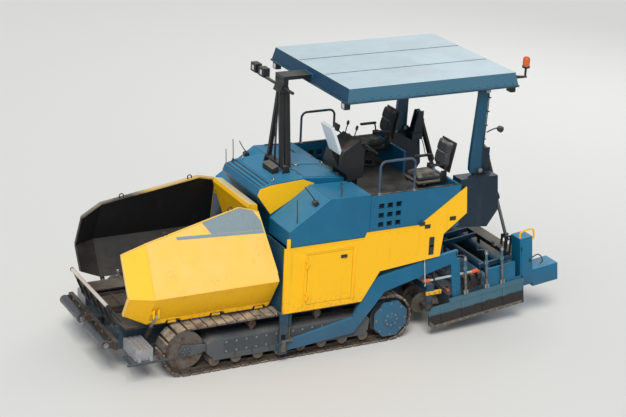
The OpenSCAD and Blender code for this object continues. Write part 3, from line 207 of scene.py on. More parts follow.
def steel(name, colour, rust, bare, rough=0.42, metallic=0.85, rustAt=0.52, soil=0.4):
    # Bare steel: rust in patches, and mud in the low places
    f = Finish(name)
    patches = f.noise(7, 6, 0.68)
    grain = f.noise(90, 4, 0.6)
    soilOn = (f.noise(13, 4, 0.6) + (1 - f.z.rise(0.1, 0.9)) * 0.25).rise(0.6, 0.8) * soil
    rustOn = patches.rise(rustAt, rustAt + 0.16)
    shade = f.mix(grain.rise(0.35, 0.7) * 0.5, colour, bare)
    shade = f.mix(rustOn, shade, f.mix(grain, rust, oldRustColour))
    shade = f.mix(soilOn, shade, mudColour)
    bright = (1 - rustOn) * (1 - soilOn)
    return f.surface(Base_Color=shade, Metallic=bright * metallic,
                     Roughness=rough + (1 - bright) * 0.4 + grain * 0.08,
                     Normal=f.bump(grain + patches * 2 + soilOn * 3, 0.0012))


# Grey primer on the near wing's upper face: a patch at the rear and a stripe below it
primer = {"rear": 1.12, "patchFront": 1.924, "patchLow": 1.838, "stripeFront": 2.45, "stripeLow": 1.802,
          "stripeHigh": 1.841, "climb": 0.045, "slant": 0.74, "colour": tint(132, 150, 158)}


def wingWear(f, base):
    # outside: painted glare and dust pale the straight part's upper face, and the near one has its primer
    # inside: painted shade and tar, darkest below a ragged rim line and over the far wing's whole front rim
    glareAndDust = f.x.within(1.0, 2.888, 0.006) * f.nz.rise(0.3, 0.4) * (f.ny * f.y).rise(0.05, 0.2)
    base = f.mix(glareAndDust * (0.62 + f.noise(3, 4).rise(0.3, 0.7) * 0.3), base, tint(246, 206, 112))
    base = nearWingPrimer(f, base)
    inside = (f.ny * f.y * -1.0).rise(0.02, 0.08)
    farWing = 1 - f.y.rise(-0.1, 0.1)
    rimLine = 1.99 - abs(f.x - 1.5) * 0.19 + f.noise(14, 5, 0.7) * 0.12 - 0.06 + farWing * 0.2
    tarAndShade = (1 - (f.z - rimLine).rise(-0.03, 0.03) * f.noise(24, 4).rise(0.4, 0.55)).most(0.72)
    farFrontShade = farWing * (1 - (f.ny * f.y).rise(0.02, 0.06)) * (f.x + f.noise(14, 5, 0.7) * 0.3).rise(2.3, 2.6)
    return f.mix((inside * tarAndShade).most(farFrontShade), base, f.mix(f.noise(40, 5, 0.7), tarAndShadeColour, tint(40, 43, 50)))


def rimTones(f, base):
    # the far wing's rim: painted shade and tar over its front, and the yellow darker behind
    farWing = 1 - f.y.rise(-0.1, 0.1)
    front = (f.x + f.noise(14, 5, 0.7) * 0.3).rise(2.3, 2.6)
    return f.mix(farWing * (front * 0.55 + 0.45), base, f.mix(front, tint(150, 118, 60), tarAndShadeColour))


def nearWingPrimer(f, base):
    # a patch above a line that climbs to the front, with a slanting front edge, and a stripe under it
    level = f.z - (f.x - primer["rear"]) * primer["climb"]
    frontEdge = f.x - (f.z - primer["patchLow"]) * primer["slant"] + f.noise(30, 3) * 0.01
    area = (frontEdge.within(primer["rear"], primer["patchFront"], 0.004)
            * level.rise(primer["patchLow"], primer["patchLow"] + 0.006))
    stripe = (f.x.within(primer["rear"], primer["stripeFront"], 0.006)
              * level.within(primer["stripeLow"], primer["stripeHigh"], 0.003))
    outside = f.y.rise(0.5, 0.6) * f.ny.rise(0.2, 0.4)
    return f.mix(outside * area.most(stripe) * (1 - f.noise(45, 4).rise(0.62, 0.75) * 0.4), base, primer["colour"])


def roofToneAndShade(f, base):
    # the top is pale; the walls are teal, with painted shade on the front end and far side
    # and painted light on the long near side, which is greyer, all darker at the lower lip
    wall = 1 - f.nz.rise(0.4, 0.6)
    side = f.mix(f.ny.rise(0.3, 0.6), tint(16, 64, 94), tint(62, 106, 128))
    lip = 1 - f.z.rise(3.615, 3.625)
    return f.mix(wall, base, f.mix(lip * 0.6, side, tint(20, 62, 88)))


def tongueTones(f, base):
    # the tongue that reaches out to the front frame is painted as that frame is
    return f.mix(f.x.rise(0.18, 0.19), base, tint(22, 27, 33))


def tealLitTops(f, base):
    # where the paint looks up it is painted lighter, as painted light from above
    return f.mix(f.nz.rise(0.45, 0.95) * 0.6, base, tint(46, 142, 182))


def wallTones(f, base):
    # the hopper's rear wall: the top strip, where it looks up, is paler in patches
    return f.mix(f.nz.rise(0.5, 0.8) * f.noise(7, 4, 0.6).rise(0.25, 0.5), base, tint(238, 222, 178))


def stepTones(f, base):
    # the front corners' steps are galvanised grey; the rest of the frame keeps its paint
    step = f.x.rise(2.87, 2.88) * (1 - f.x.rise(3.14, 3.15)) * abs(f.y).rise(0.67, 0.675) * f.z.rise(0.335, 0.34)
    return f.mix(step, base, f.mix(f.noise(3, 4, 0.6).rise(0.4, 0.7), tint(170, 172, 178), tint(156, 158, 164)))


def gateFootShade(f, base):
    # the end gates: the foot is painted dark as painted shade up to an uneven line, which runs level on the raised
    # screed
    height = f.z + (f.x - 1.02) * 0.1139 + f.noise(9, 4, 0.6) * 0.06
    return f.mix(1 - height.rise(0.075, 0.105), base, tint(20, 22, 25))


yellowTone, yellowPale = tint(255, 192, 4), tint(250, 190, 30)
tealTone, tealPale = tint(2, 94, 130), tint(24, 116, 156)
darkTealTone, darkTealPale = tint(8, 62, 86), tint(34, 86, 106)

finishes = {
    "yellowPaint": paint("yellowPaint", yellowTone, yellowPale, 0.15, 0.5),
    "wingPaint": paint("wingPaint", yellowTone, yellowPale, 0.12, 0.6, extra=wingWear),
    "wingRim": paint("wingRim", tint(248, 206, 96), tint(236, 214, 160), 0.5, 0.5, 0.5, 0.1, extra=rimTones),
    "whitePaint": paint("whitePaint", tint(242, 245, 248), tint(228, 233, 237), 0.1, 0.3, 0.45, 0.1),
    "paleWorn": paint("paleWorn", tint(214, 204, 196), tint(150, 96, 74), 0.5, 0.8, 0.6, 0.0),
    "orangePaint": paint("orangePaint", tint(226, 92, 24), tint(200, 84, 40), 0.3, 0.6, 0.45, 0.1),
    "tealPaint": paint("tealPaint", tealTone, tealPale, 0.08, 0.32, extra=tealLitTops),
    "rearWallPaint": paint("rearWallPaint", yellowTone, yellowPale, 0.15, 0.6, extra=wallTones),
    # the rear housings' teal is painted near-black as painted shade
    "housingPaint": paint("housingPaint", tint(4, 32, 48), tint(14, 48, 66), 0.1, 0.4),
    "postPaint": paint("postPaint", tint(8, 68, 94), tint(24, 86, 112), 0.1, 0.35),
    "coverPaint": paint("coverPaint", tint(40, 84, 104), tint(60, 100, 118), 0.2, 0.6, 0.5, 0.05),
    "chassisPaint": paint("chassisPaint", darkTealTone, darkTealPale, 0.2, 0.42, 0.5, 0.1, extra=stepTones),
    "framePaint": paint("framePaint", tint(66, 90, 106), tint(96, 110, 120), 0.3, 0.6, 0.55, 0.0),
    "darkTealPaint": paint("darkTealPaint", darkTealTone, darkTealPale, 0.2, 0.6, 0.5, 0.1),
    "gatePaint": paint("gatePaint", tint(58, 104, 122), tint(80, 122, 138), 0.15, 0.2, 0.5, 0.05, extra=gateFootShade),
    "blackPaint": paint("blackPaint", tint(30, 31, 33), tint(48, 48, 48), 0.35, 0.7, 0.5, 0.1),
    "roofPaint": paint("roofPaint", tint(196, 214, 222), tint(176, 198, 210), 0.2, 0.3, 0.5, 0.05, extra=roofToneAndShade),
    "fascia": paint("fascia", tint(30, 84, 118), tint(60, 110, 140), 0.2, 0.3, extra=tongueTones),
    "engineIron": paint("engineIron", tint(120, 122, 124), tint(96, 96, 96), 0.3, 0.8, 0.6, 0.0),
    "brightSteel": steel("brightSteel", tint(178, 180, 182), tint(120, 84, 60), tint(206, 208, 210), 0.3, 0.9, 0.66,
                         0.3),
    "rollerSteel": steel("rollerSteel", tint(96, 98, 102), tint(84, 62, 46), tint(168, 170, 172), 0.36, 0.85, 0.6,
                         0.5),
    "wornSteel": steel("wornSteel", tint(112, 104, 96), tint(110, 70, 44), tint(150, 146, 140), 0.5, 0.7, 0.5, 0.6),
}


def worked(name, low, high, rough, grainScale, depth, dusty):
    # rubber, plastic, tar: two tones by a grain, with dust where the face looks up
    f = Finish(name)
    grain = f.noise(grainScale, 5, 0.65)
    up = f.nz.rise(0.2, 0.9)
    shade = f.mix(grain.rise(0.25, 0.75), low, high)
    dustOn = up * f.noise(6, 4, 0.6).rise(0.3, 0.7) * dusty
    return f.surface(Base_Color=f.mix(dustOn, shade, dustColour), Roughness=rough + dustOn * 0.3,
                     Normal=f.bump(grain, depth))


def lens(name, colour):
    # moulded clear plastic over a reflector, with upright flutes
    f = Finish(name)
    flutes = ((f.y + f.x) * 420.0).sine()
    return f.surface(Base_Color=f.mix(flutes.rise(-1, 1) * 0.25, colour, tint(120, 124, 128)), Roughness=0.12,
                     Coat_Weight=1.0, Coat_Roughness=0.05, Metallic=0.35, Normal=f.bump(flutes, 0.0006))


def beaconPlastic():
    # see-through orange plastic, ribbed round its axis
    f = Finish("beaconOrange")
    ribs = (f.z * 900.0).sine()
    return f.surface(Base_Color=f.mix(f.noise(30, 3) * 0.3, tint(244, 104, 18), tint(206, 66, 8)), Roughness=0.16,
                     Transmission_Weight=0.35, IOR=1.46, Coat_Weight=0.6, Normal=f.bump(ribs, 0.0005))


finishes.update({
    "padRubber": worked("padRubber", tint(58, 50, 45), tint(124, 110, 100), 0.85, 22, 0.003, 0.75),
    "chainSteel": steel("chainSteel", tint(74, 68, 64), tint(92, 60, 42), tint(120, 112, 104), 0.5, 0.6, 0.48, 0.7),
    "boltSteel": steel("boltSteel", tint(150, 150, 150), tint(104, 74, 54), tint(190, 190, 190), 0.35, 0.9, 0.62,
                       0.3),
    "asphaltCrust": worked("asphaltCrust", tint(16, 15, 15), tint(58, 55, 53), 0.8, 120, 0.004, 0.15),
    "blackRubber": worked("blackRubber", tint(22, 22, 22), tint(40, 39, 38), 0.7, 60, 0.0008, 0.3),
    "blackPlastic": worked("blackPlastic", tint(26, 27, 28), tint(42, 42, 43), 0.48, 200, 0.0003, 0.25),
    "seatCloth": worked("seatCloth", tint(36, 38, 42), tint(74, 76, 80), 0.92, 420, 0.0007, 0.5),
    "railPaint": worked("railPaint", tint(34, 58, 76), tint(62, 86, 104), 0.5, 18, 0.0004, 0.2),
    "barPaint": worked("barPaint", tint(178, 194, 204), tint(150, 164, 172), 0.5, 18, 0.0004, 0.2),
    "screenGlass": worked("screenGlass", tint(8, 12, 16), tint(16, 22, 28), 0.08, 4, 0.0, 0.1),
    "clearLens": lens("clearLens", tint(206, 214, 220)),
    "redLens": lens("redLens", tint(170, 20, 16)),
    "beaconOrange": beaconPlastic(),
})
print("finishes made:", len(finishes))


# Shapes: points, four-sided faces and three-sided faces

def joined(*shapes):
    # the shapes' arrays end to end, with each one's faces counted on from those before it
    starts = np.cumsum([0] + [len(s[0]) for s in shapes[:-1]])
    return (np.concatenate([s[0] for s in shapes]),
            np.concatenate([s[1] + n for s, n in zip(shapes, starts)]),
            np.concatenate([s[2] + n for s, n in zip(shapes, starts)]))


def turnAbout(axis, angle):
    # the matrix that turns by an angle in degrees about an axis
    return np.array(Matrix.Rotation(math.radians(angle), 3, axis))


def moved(shape, shift=(0, 0, 0), turn=None):
    # P' = R P + s
    points = shape[0] if turn is None else shape[0] @ np.asarray(turn).T
    return points + np.asarray(shift, float), shape[1], shape[2]


def copies(shape, shifts, turns=None):
    # P'(k) = R(k) P + s(k), for all k at once
    shifts = np.asarray(shifts, float).reshape(-1, 3)
    count, size = len(shifts), len(shape[0])
    points = np.broadcast_to(shape[0], (count, size, 3))
    if turns is not None:
        points = np.einsum("kij,knj->kni", np.asarray(turns), points)
    steps = (np.arange(count) * size)[:, None, None]
    return ((points + shifts[:, None]).reshape(-1, 3),
            (shape[1][None] + steps).reshape(-1, 4), (shape[2][None] + steps).reshape(-1, 3))


def mirrored(shape):
    # (x, y, z) to (x, -y, z), with the faces' order turned round
    return shape[0] * [1, -1, 1], shape[1][:, ::-1], shape[2][:, ::-1]


def bothSides(shape):
    # a shape and its mirror image
    return joined(shape, mirrored(shape))


sides = (("left", lambda shape: shape), ("right", mirrored))


def skinned(rings, around=False):
    # P(i, j): rings i of closed profiles j. The ends are closed by fans to their middles, or joined.
    rows, columns = rings.shape[:2]
    i, j = np.meshgrid(np.arange(rows if around else rows - 1), np.arange(columns), indexing="ij")
    i2, j2 = (i + 1) % rows, (j + 1) % columns
    quads = np.stack([i * columns + j, i * columns + j2, i2 * columns + j2, i2 * columns + j], -1).reshape(-1, 4)
    points = rings.reshape(-1, 3)
    if around:
        return points, quads, np.zeros((0, 3), int)
    n, k = len(points), np.arange(columns)
    first = np.stack([np.full(columns, n), (k + 1) % columns, k], -1)
    last = np.stack([np.full(columns, n + 1), k + (rows - 1) * columns, (k + 1) % columns + (rows - 1) * columns], -1)
    points = np.concatenate([points, rings[0].mean(0)[None], rings[-1].mean(0)[None]])
    return points, quads, np.concatenate([first, last])


def carried(profile, path, up=(0, 0, 1), around=False):
    # P(s, t) = C(s) + a(t) side(s) + b(t) rise(s), the side square to the path and to the direction up
    path = np.asarray(path, float)
    ahead = np.roll(path, -1, 0) - np.roll(path, 1, 0) if around else np.gradient(path, axis=0)
    ahead /= np.linalg.norm(ahead, axis=1)[:, None]
    side = np.cross(ahead, np.asarray(up, float))
    side /= np.linalg.norm(side, axis=1)[:, None]
    rise = np.cross(side, ahead)
    across = np.asarray(profile, float)[None]
    return skinned(path[:, None] + across[..., :1] * side[:, None] + across[..., 1:] * rise[:, None], around)


def circle(radius, count=12, start=0.0):
    # r (cos a, sin a), from an angle start in even steps
    a = np.linspace(0, 2 * np.pi, count, endpoint=False) + start
    return np.stack([radius * np.cos(a), radius * np.sin(a)], -1)


def tube(path, radius, count=12, up=(0, 0, 1)):
    # a circle along a path
    return carried(circle(radius, count), path, up)


def curveThrough(points, count):
    # Catmull-Rom: on each stretch, a cubic with its ends' slopes along the neighbours' chords
    p = np.asarray(points, float)
    p = np.concatenate([2 * p[:1] - p[1:2], p, 2 * p[-1:] - p[-2:-1]])
    s = np.linspace(0, len(p) - 3 - 1e-9, count)
    k, t = s.astype(int), (s % 1)[:, None]
    a, b, c, d = p[k], p[k + 1], p[k + 2], p[k + 3]
    return 0.5 * (2 * b + (c - a) * t + (2 * a - 5 * b + 4 * c - d) * t ** 2 + (3 * b - a - 3 * c + d) * t ** 3)


def roundedOutline(halfA, halfB, radius, corner=4):
    # the outline of a rectangle with quarter circles at its corners
    a = np.linspace(0, np.pi / 2, corner)[None] + np.arange(4)[:, None] * np.pi / 2
    signs = np.array([[1, 1], [-1, 1], [-1, -1], [1, -1]])
    middle = signs[:, None] * [halfA - radius, halfB - radius]
    return (middle + radius * np.stack([np.cos(a), np.sin(a)], -1)).reshape(-1, 2)


def block(size, radius=0.004, corner=4, rows=3):
    # a box with round edges about the origin: its outline inset by r(1 - cos v) at the height c/2 - r(1 - sin v)
    a, b, c = np.asarray(size, float) / 2
    radius = min(radius, a * 0.98, b * 0.98, c * 0.98)
    v = np.linspace(0, np.pi / 2, rows)
    inset, height = radius * (1 - np.cos(v)), c - radius * (1 - np.sin(v))
    inset, height = np.concatenate([inset[::-1], inset]), np.concatenate([-height[::-1], height])
    outline = roundedOutline(a, b, radius, corner)
    shrink = np.sign(outline) * inset[:, None, None]
    flat = outline[None] - shrink * np.minimum(1, np.abs(outline) / np.array([a, b]))
    return skinned(np.concatenate([flat, np.broadcast_to(height[:, None, None], flat.shape[:2] + (1,))], -1))


def between(low, high, radius=0.004):
    # a block between two corners
    low, high = np.asarray(low, float), np.asarray(high, float)
    return moved(block(high - low, radius), (low + high) / 2)


def turned(outline, foot=(0, 0, 0), axis=(0, 0, 1), count=24):
    # P(h, a) = foot + r(h) (cos a, sin a) square to the axis + h along it
    outline = np.asarray(outline, float)
    a = np.linspace(0, 2 * np.pi, count, endpoint=False)
    r, h = outline[:, :1], outline[:, 1:]
    rings = np.stack([r * np.cos(a), r * np.sin(a), h + 0 * a], -1)
    turn = np.array(Vector((0, 0, 1)).rotation_difference(Vector(axis)).to_matrix())
    return moved(skinned(rings), foot, turn)


def slab(outline, low, high, edge=0.0):
    # a flat outline (x, z) carried from y = low to y = high; its rims are broken by an edge
    outline = np.asarray(outline, float)
    middle = outline.mean(0)
    shrink = 1 - edge / np.linalg.norm(outline - middle, axis=1)[:, None]
    small = middle + (outline - middle) * shrink
    flats = [small, outline, outline, small] if edge else [outline, outline]
    heights = [low, low + edge, high - edge, high] if edge else [low, high]
    return skinned(np.array([np.stack([flat[:, 0], np.full(len(flat), y), flat[:, 1]], -1)
                             for flat, y in zip(flats, heights)]))


hexBolt = {"radius": 0.014, "height": 0.010, "washer": 0.019}


def boltHeads(places, axis=(0, 1, 0), scale=1.0):
    # a washer and a six-sided head with its rim broken, at each place
    r, h, w = (hexBolt[key] * scale for key in ("radius", "height", "washer"))
    washer = turned([(w, -0.002), (w, 0.002), (w * 0.96, 0.003)], axis=axis, count=12)
    head = turned([(r, 0.002), (r, 0.002 + h * 0.75), (r * 0.86, 0.002 + h)], axis=axis, count=6)
    return copies(joined(washer, head), places)


sharpFrom = {"pieces": math.radians(32), "eased": math.radians(30), "rims": math.radians(35)}


def piece(name, parts, body, replaces=()):
    # a mesh object of several shapes, each with its finish, that rides on a body
    points, quads, tris = joined(*[s for _, s in parts])
    mesh = bpy.data.meshes.new(name)
    loops = np.concatenate([quads.reshape(-1), tris.reshape(-1)]).astype(np.int32)
    starts = np.concatenate([np.arange(len(quads)) * 4, len(quads) * 4 + np.arange(len(tris)) * 3])
    mesh.vertices.add(len(points))
    mesh.vertices.foreach_set("co", points.astype(np.float32).reshape(-1))
    mesh.loops.add(len(loops))
    mesh.loops.foreach_set("vertex_index", loops)
    mesh.polygons.add(len(starts))
    mesh.polygons.foreach_set("loop_start", starts.astype(np.int32))
    quadFinish = np.concatenate([np.full(len(s[1]), k) for k, (_, s) in enumerate(parts)])
    triFinish = np.concatenate([np.full(len(s[2]), k) for k, (_, s) in enumerate(parts)])
    order = list(dict.fromkeys(f for f, _ in parts))
    lookUp = np.array([order.index(f) for f, _ in parts])
    mesh.polygons.foreach_set("material_index",
                              lookUp[np.concatenate([quadFinish, triFinish]).astype(int)].astype(np.int32))
    for finish in order:
        mesh.materials.append(finishes[finish])
    mesh.update(calc_edges=True)
    work = bmesh.new()
    work.from_mesh(mesh)
    bmesh.ops.recalc_face_normals(work, faces=work.faces)
    work.to_mesh(mesh)
    work.free()
    mesh.shade_smooth()
    mesh.set_sharp_from_angle(angle=sharpFrom["pieces"])
    made = bpy.data.objects.new(name, mesh)
    bpy.context.scene.collection.objects.link(made)
    if replaces:
        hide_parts(*replaces)
    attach(made, body)


def bodyOf(node):
    # the name of the body that a solid belongs to
    return frame["nodes"][node].parent.name.split(":")[-1]


def eased(node, finish, width):
    # a copy of a solid with its flat faces made whole and its edges rounded, which stands for it
    source = frame["nodes"][node]
    work = bmesh.new()
    work.from_mesh(source.data)
    bmesh.ops.remove_doubles(work, verts=work.verts, dist=1e-5)
    bmesh.ops.dissolve_limit(work, angle_limit=math.radians(1.0), verts=work.verts, edges=work.edges)
    mesh = bpy.data.meshes.new(node + "_eased")
    work.to_mesh(mesh)
    work.free()
    mesh.materials.clear()
    mesh.materials.append(finishes[finish])
    mesh.shade_smooth()
    mesh.set_sharp_from_angle(angle=sharpFrom["eased"])
    made = bpy.data.objects.new(node + "_eased", mesh)
    bpy.context.scene.collection.objects.link(made)
    rim = made.modifiers.new("rim", "BEVEL")
    rim.width, rim.segments, rim.limit_method, rim.angle_limit = width, 2, "ANGLE", sharpFrom["rims"]
    rim.harden_normals = False
    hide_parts(node)
    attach(made, bodyOf(node))


# The solids' finishes

nodeFinish = {
    "chassis_frame": "chassisPaint", "engine_block": "engineIron", "hopper_floor": "blackPaint",
    "hopper_rear_wall": "rearWallPaint", "conveyor_slats": "wornSteel", "tracks": "wornSteel",
    "track_frames": "framePaint", "track_rollers": "wornSteel", "drive_sprockets": "coverPaint",
    "hood": "tealPaint", "hood_cheeks": "yellowPaint", "shoulders": "tealPaint", "platform_body": "tealPaint",
    "platform_deck": "blackPaint", "rear_housings": "housingPaint", "side_panels": "yellowPaint",
    "side_door_left": "yellowPaint", "side_door_right": "yellowPaint", "handrails": "railPaint",
    "operator_seats": "blackPaint", "operator_console": "blackPaint", "canopy_feet": "blackPaint",
    "canopy_rear_posts": "postPaint", "canopy_front_frame": "blackPaint", "canopy_frame": "fascia",
    "canopy_roof": "roofPaint", "work_lamps": "blackPaint", "beacon": "blackPaint",
    "hopper_wing_left": "wingPaint", "hopper_wing_right": "wingPaint", "wing_barrel_left": "blackPaint",
    "wing_barrel_right": "blackPaint", "wing_rod_left": "brightSteel", "wing_rod_right": "brightSteel",
    "front_apron": "blackPaint", "push_beam": "blackPaint", "push_roller_left": "rollerSteel",
    "push_roller_right": "rollerSteel", "auger_frame": "darkTealPaint", "auger_left": "wornSteel",
    "auger_right": "wornSteel", "tow_blocks": "wornSteel", "tow_arms": "tealPaint", "screed_base": "darkTealPaint",
    "screed_walkway": "blackPaint", "screed_extension_left": "tealPaint", "screed_extension_right": "tealPaint",
    "end_gate_left": "gatePaint", "end_gate_right": "gatePaint", "lift_barrels": "blackPaint",
    "lift_rods": "rollerSteel"}

for node, finish in nodeFinish.items():
    solid = frame["nodes"][node]
    solid.data.materials.clear()
    solid.data.materials.append(finishes[finish])
print("solids finished:", len(nodeFinish))


# Tracks

run = {"rear": -0.710, "front": 2.400, "radius": 0.35, "middle": 1.0, "shoes": 56, "pins": 0.298,
       "width": 0.300, "gap": 0.014, "padLow": 0.026, "plateLow": 0.018, "linkAt": 0.040, "linkR": 0.022,
       "pinR": 0.0135, "teeth": 13}


def loopAt(s, radius):
    # The loop round two equal wheels at a way s: top run to the rear, half circle, lower run, half circle
    base, arc = run["front"] - run["rear"], math.pi * radius
    s = np.mod(s, 2 * (base + arc))
    turn = np.clip((s - base) / radius, 0, math.pi) + np.clip((s - 2 * base - arc) / radius, 0, math.pi)
    along = run["front"] - np.clip(s, 0, base) + np.clip(s - base - arc, 0, base)
    return np.stack([along - radius * np.sin(turn), run["radius"] + radius * np.cos(turn)], -1)


def trackShape():
    # each shoe lies along the chord between two pins, with its pad outward
    pitch = 2 * (run["front"] - run["rear"] + math.pi * run["pins"]) / run["shoes"]
    pins = loopAt(np.arange(run["shoes"]) * pitch, run["pins"])
    after = np.roll(pins, -1, 0)
    along = (after - pins) / np.linalg.norm(after - pins, axis=1)[:, None]
    zero, one = np.zeros(len(pins)), np.ones(len(pins))
    turns = np.stack([np.stack([along[:, 0], zero, along[:, 1]], -1), np.stack([zero, -one, zero], -1),
                      np.stack([along[:, 1], zero, -along[:, 0]], -1)], -1)
    middle = (pins + after) / 2
    shifts = np.stack([middle[:, 0], zero + run["middle"], middle[:, 1]], -1)
    top = run["radius"] - run["pins"]
    half, wide = (pitch - run["gap"]) / 2, run["width"] / 2
    pad = slab([(-half, run["padLow"]), (half, run["padLow"]), (half, top - 0.007), (half - 0.007, top),
                (-half + 0.007, top), (-half, top - 0.007)], -wide, wide, 0.006)
    low, high = run["plateLow"], run["padLow"] + 0.001
    plate = slab([(-half - 0.004, low), (half + 0.004, low), (half + 0.004, high), (-half - 0.004, high)],
                 -wide + 0.012, wide - 0.012, 0.002)
    a = np.linspace(-np.pi / 2, np.pi / 2, 7)
    ends = np.stack([pitch / 2 + run["linkR"] * np.cos(a), run["linkR"] * np.sin(a) - 0.002], -1)
    linkLine = np.concatenate([ends, ends[::-1] * [-1, 1]])
    links = joined(*[slab(linkLine, y - 0.007, y + 0.007, 0.002) for y in (-run["linkAt"], run["linkAt"])])
    outer = joined(*[slab(linkLine, y - 0.006, y + 0.006, 0.002)
                     for y in (-run["linkAt"] - 0.015, run["linkAt"] + 0.015)])
    odd = np.arange(run["shoes"]) % 2 == 1
    bolts = boltHeads([(x, y, run["plateLow"]) for x in (-0.04, 0.04) for y in (-0.10, 0.10)], (0, 0, -1), 0.8)
    pinShape = turned([(run["pinR"], -0.062), (run["pinR"], 0.062)], axis=(0, 1, 0), count=10)
    pinAt = np.stack([pins[:, 0], zero + run["middle"], pins[:, 1]], -1)
    return (copies(pad, shifts, turns),
            joined(copies(joined(plate, bolts), shifts, turns), copies(links, shifts[odd], turns[odd]),
                   copies(outer, shifts[~odd], turns[~odd]), copies(pinShape, pinAt)))


padShape, chainShape = trackShape()
piece("trackShoes", [("padRubber", bothSides(padShape)), ("chainSteel", bothSides(chainShape))],
      bodyOf("tracks"), ("tracks",))
print("tracks laid")

gear = {"toothR": 0.272, "toothDepth": 0.02, "coverR": 0.285, "coverY": 1.164, "crownR": 0.115, "rimBolts": 0.232,
        "hubBolts": 0.088, "frameY": 1.145, "plateLow": 0.262, "plateHigh": 0.438, "capY": 1.094}


def sprocketShape():
    # teeth r(a) = foot + depth * raised cosine, squared off; an eight-sided cover with a raised middle
    a = np.linspace(0, 2 * np.pi, run["teeth"] * 10, endpoint=False)
    wave = np.clip(np.cos(a * run["teeth"]) * 1.6, -1, 1)
    r = gear["toothR"] + gear["toothDepth"] * wave
    wheel = slab(np.stack([r * np.cos(a), r * np.sin(a)], -1), -0.028, 0.028, 0.003)
    teeth = moved(wheel, (run["rear"], run["middle"], run["radius"]), turnAbout("Y", 7))
    eight = circle(1.0, 8, math.pi / 8)
    heights = [0.0, 0.018, 0.024, 0.036, 0.040]
    radii = [gear["coverR"], gear["coverR"], gear["coverR"] - 0.006, gear["crownR"] + 0.05, gear["crownR"] + 0.035]
    rings = np.stack([np.stack([r * eight[:, 0], np.full(8, h), r * eight[:, 1]], -1)
                      for r, h in zip(radii, heights)])
    cover = moved(skinned(rings), (run["rear"], gear["coverY"] - 0.024, run["radius"]))
    crown = turned([(0.12, 0), (0.12, 0.010), (0.113, 0.014), (0.05, 0.016), (0.046, 0.024), (0.02, 0.026)],
                   (run["rear"], gear["coverY"] + 0.014, run["radius"]), (0, 1, 0), 32)
    ring = np.arange(8) * np.pi / 4
    rim, hub = [np.stack([run["rear"] + r * np.cos(ring), np.full(8, gear["coverY"] + lift),
                          run["radius"] + r * np.sin(ring)], -1)
                for r, lift in ((gear["rimBolts"], -0.002), (gear["hubBolts"], 0.028))]
    return teeth, joined(cover, crown), joined(boltHeads(rim, scale=1.0), boltHeads(hub, scale=0.7))


def frameShape():
    # two cover plates on each track frame, with bolts along their edges, ribs, the tensioner and the idler's hub cap
    y = gear["frameY"]
    low, high = gear["plateLow"], gear["plateHigh"]
    plates = joined(*[slab([(x0, low), (x1, low), (x1, high - 0.02), (x1 - 0.02, high), (x0 + 0.02, high),
                            (x0, high - 0.02)], y - 0.002, y + 0.006, 0.002)
                      for x0, x1 in ((-0.10, 0.86), (0.90, 1.86))])
    ribs = joined(*[between((x - 0.006, y - 0.01, 0.20), (x + 0.006, y + 0.012, low), 0.002)
                    for x in np.arange(-0.12, 1.95, 0.26)])
    bolts = [(x, y + 0.006, z) for x in np.concatenate([np.linspace(-0.07, 0.83, 7), np.linspace(0.93, 1.83, 7)])
             for z in (0.280, 0.415)]
    cap = turned([(0.066, 0), (0.066, 0.012), (0.058, 0.018), (0.03, 0.022), (0.026, 0.032), (0.012, 0.034)],
                 (run["front"], gear["capY"], run["radius"]), (0, 1, 0), 24)
    capBolts = [(run["front"] + 0.046 * math.cos(a), gear["capY"] + 0.016, run["radius"] + 0.046 * math.sin(a))
                for a in np.arange(6) * math.pi / 3]
    tensioner = turned([(0.035, 0), (0.035, 0.16), (0.026, 0.17), (0.026, 0.30)],
                       (2.02, run["middle"], run["radius"]), (1, 0, 0), 20)
    heads = joined(boltHeads(bolts, scale=0.85), boltHeads(capBolts, scale=0.5))
    return joined(plates, ribs, cap, tensioner), heads


teeth, cover, coverBolts = sprocketShape()
plates, plateBolts = frameShape()
piece("runningGear", [("wornSteel", bothSides(teeth)), ("tealPaint", bothSides(cover)),
                      ("boltSteel", bothSides(coverBolts)), ("darkTealPaint", bothSides(plates)),
                      ("boltSteel", bothSides(plateBolts))], bodyOf("track_frames"))
print("running gear made")


# Hopper

wing = {"hinge": (0.900, 0.740), "crease": (1.200, 1.210), "slope": 0.53846, "noseX": 2.890, "noseIn": 0.48387,
        "frontX": 3.197, "wall": 0.040, "hemY": 0.937, "hemLow": 0.745, "hemHigh": 0.803,
        "tabs": ((1.105, 1.19), (1.33, 1.80), (1.97, 2.44), (2.61, 2.86)), "eyes": (1.62, 2.60), "eyeR": 0.032,
        "top": (1.492, 2.138), "topFall": 0.2003}


def wingFace(x, z):
    # the outer face's y at (x, z): in to the hinge below the crease, in to the top above it, in ahead of the bend
    (hy, hz), (cy, cz) = wing["hinge"], wing["crease"]
    y = np.where(z < cz, hy + (z - hz) * (cy - hy) / (cz - hz), cy - (z - cz) * wing["slope"])
    return y - np.clip(x - wing["noseX"], 0, None) * wing["noseIn"]


def wingRim():
    # a flat bar along the open edge, standing a little proud of both walls
    corners = np.array([(1.094, 1.30), (1.222, 2.064), wing["top"], (wing["noseX"], 1.858),
                        (wing["frontX"], 1.718), (wing["frontX"], 1.215)])
    steps = [np.linspace(a, b, 12, endpoint=False) for a, b in zip(corners[:-1], corners[1:])]
    flat = np.concatenate([*steps, corners[-1:]])
    middle = 0.5 * wing["wall"] * math.sqrt(1 + wing["slope"] ** 2)
    path = np.stack([flat[:, 0], wingFace(flat[:, 0], flat[:, 1]) - middle, flat[:, 1]], -1)
    normal = np.array([0.0, 1.0, wing["slope"]]) / math.hypot(1, wing["slope"])
    bar = roundedOutline(0.006, 0.029, 0.004, 3)
    z = np.linspace(1.205, 0.895, 10)
    x = np.full(10, wing["frontX"])
    low = np.array([0.0, 1.0, -0.638]) / math.hypot(1, 0.638)
    lowPath = np.stack([x, wingFace(x, z) - 0.5 * wing["wall"] * 1.19, z], -1)
    return joined(carried(bar, path, normal), carried(bar, lowPath, low))


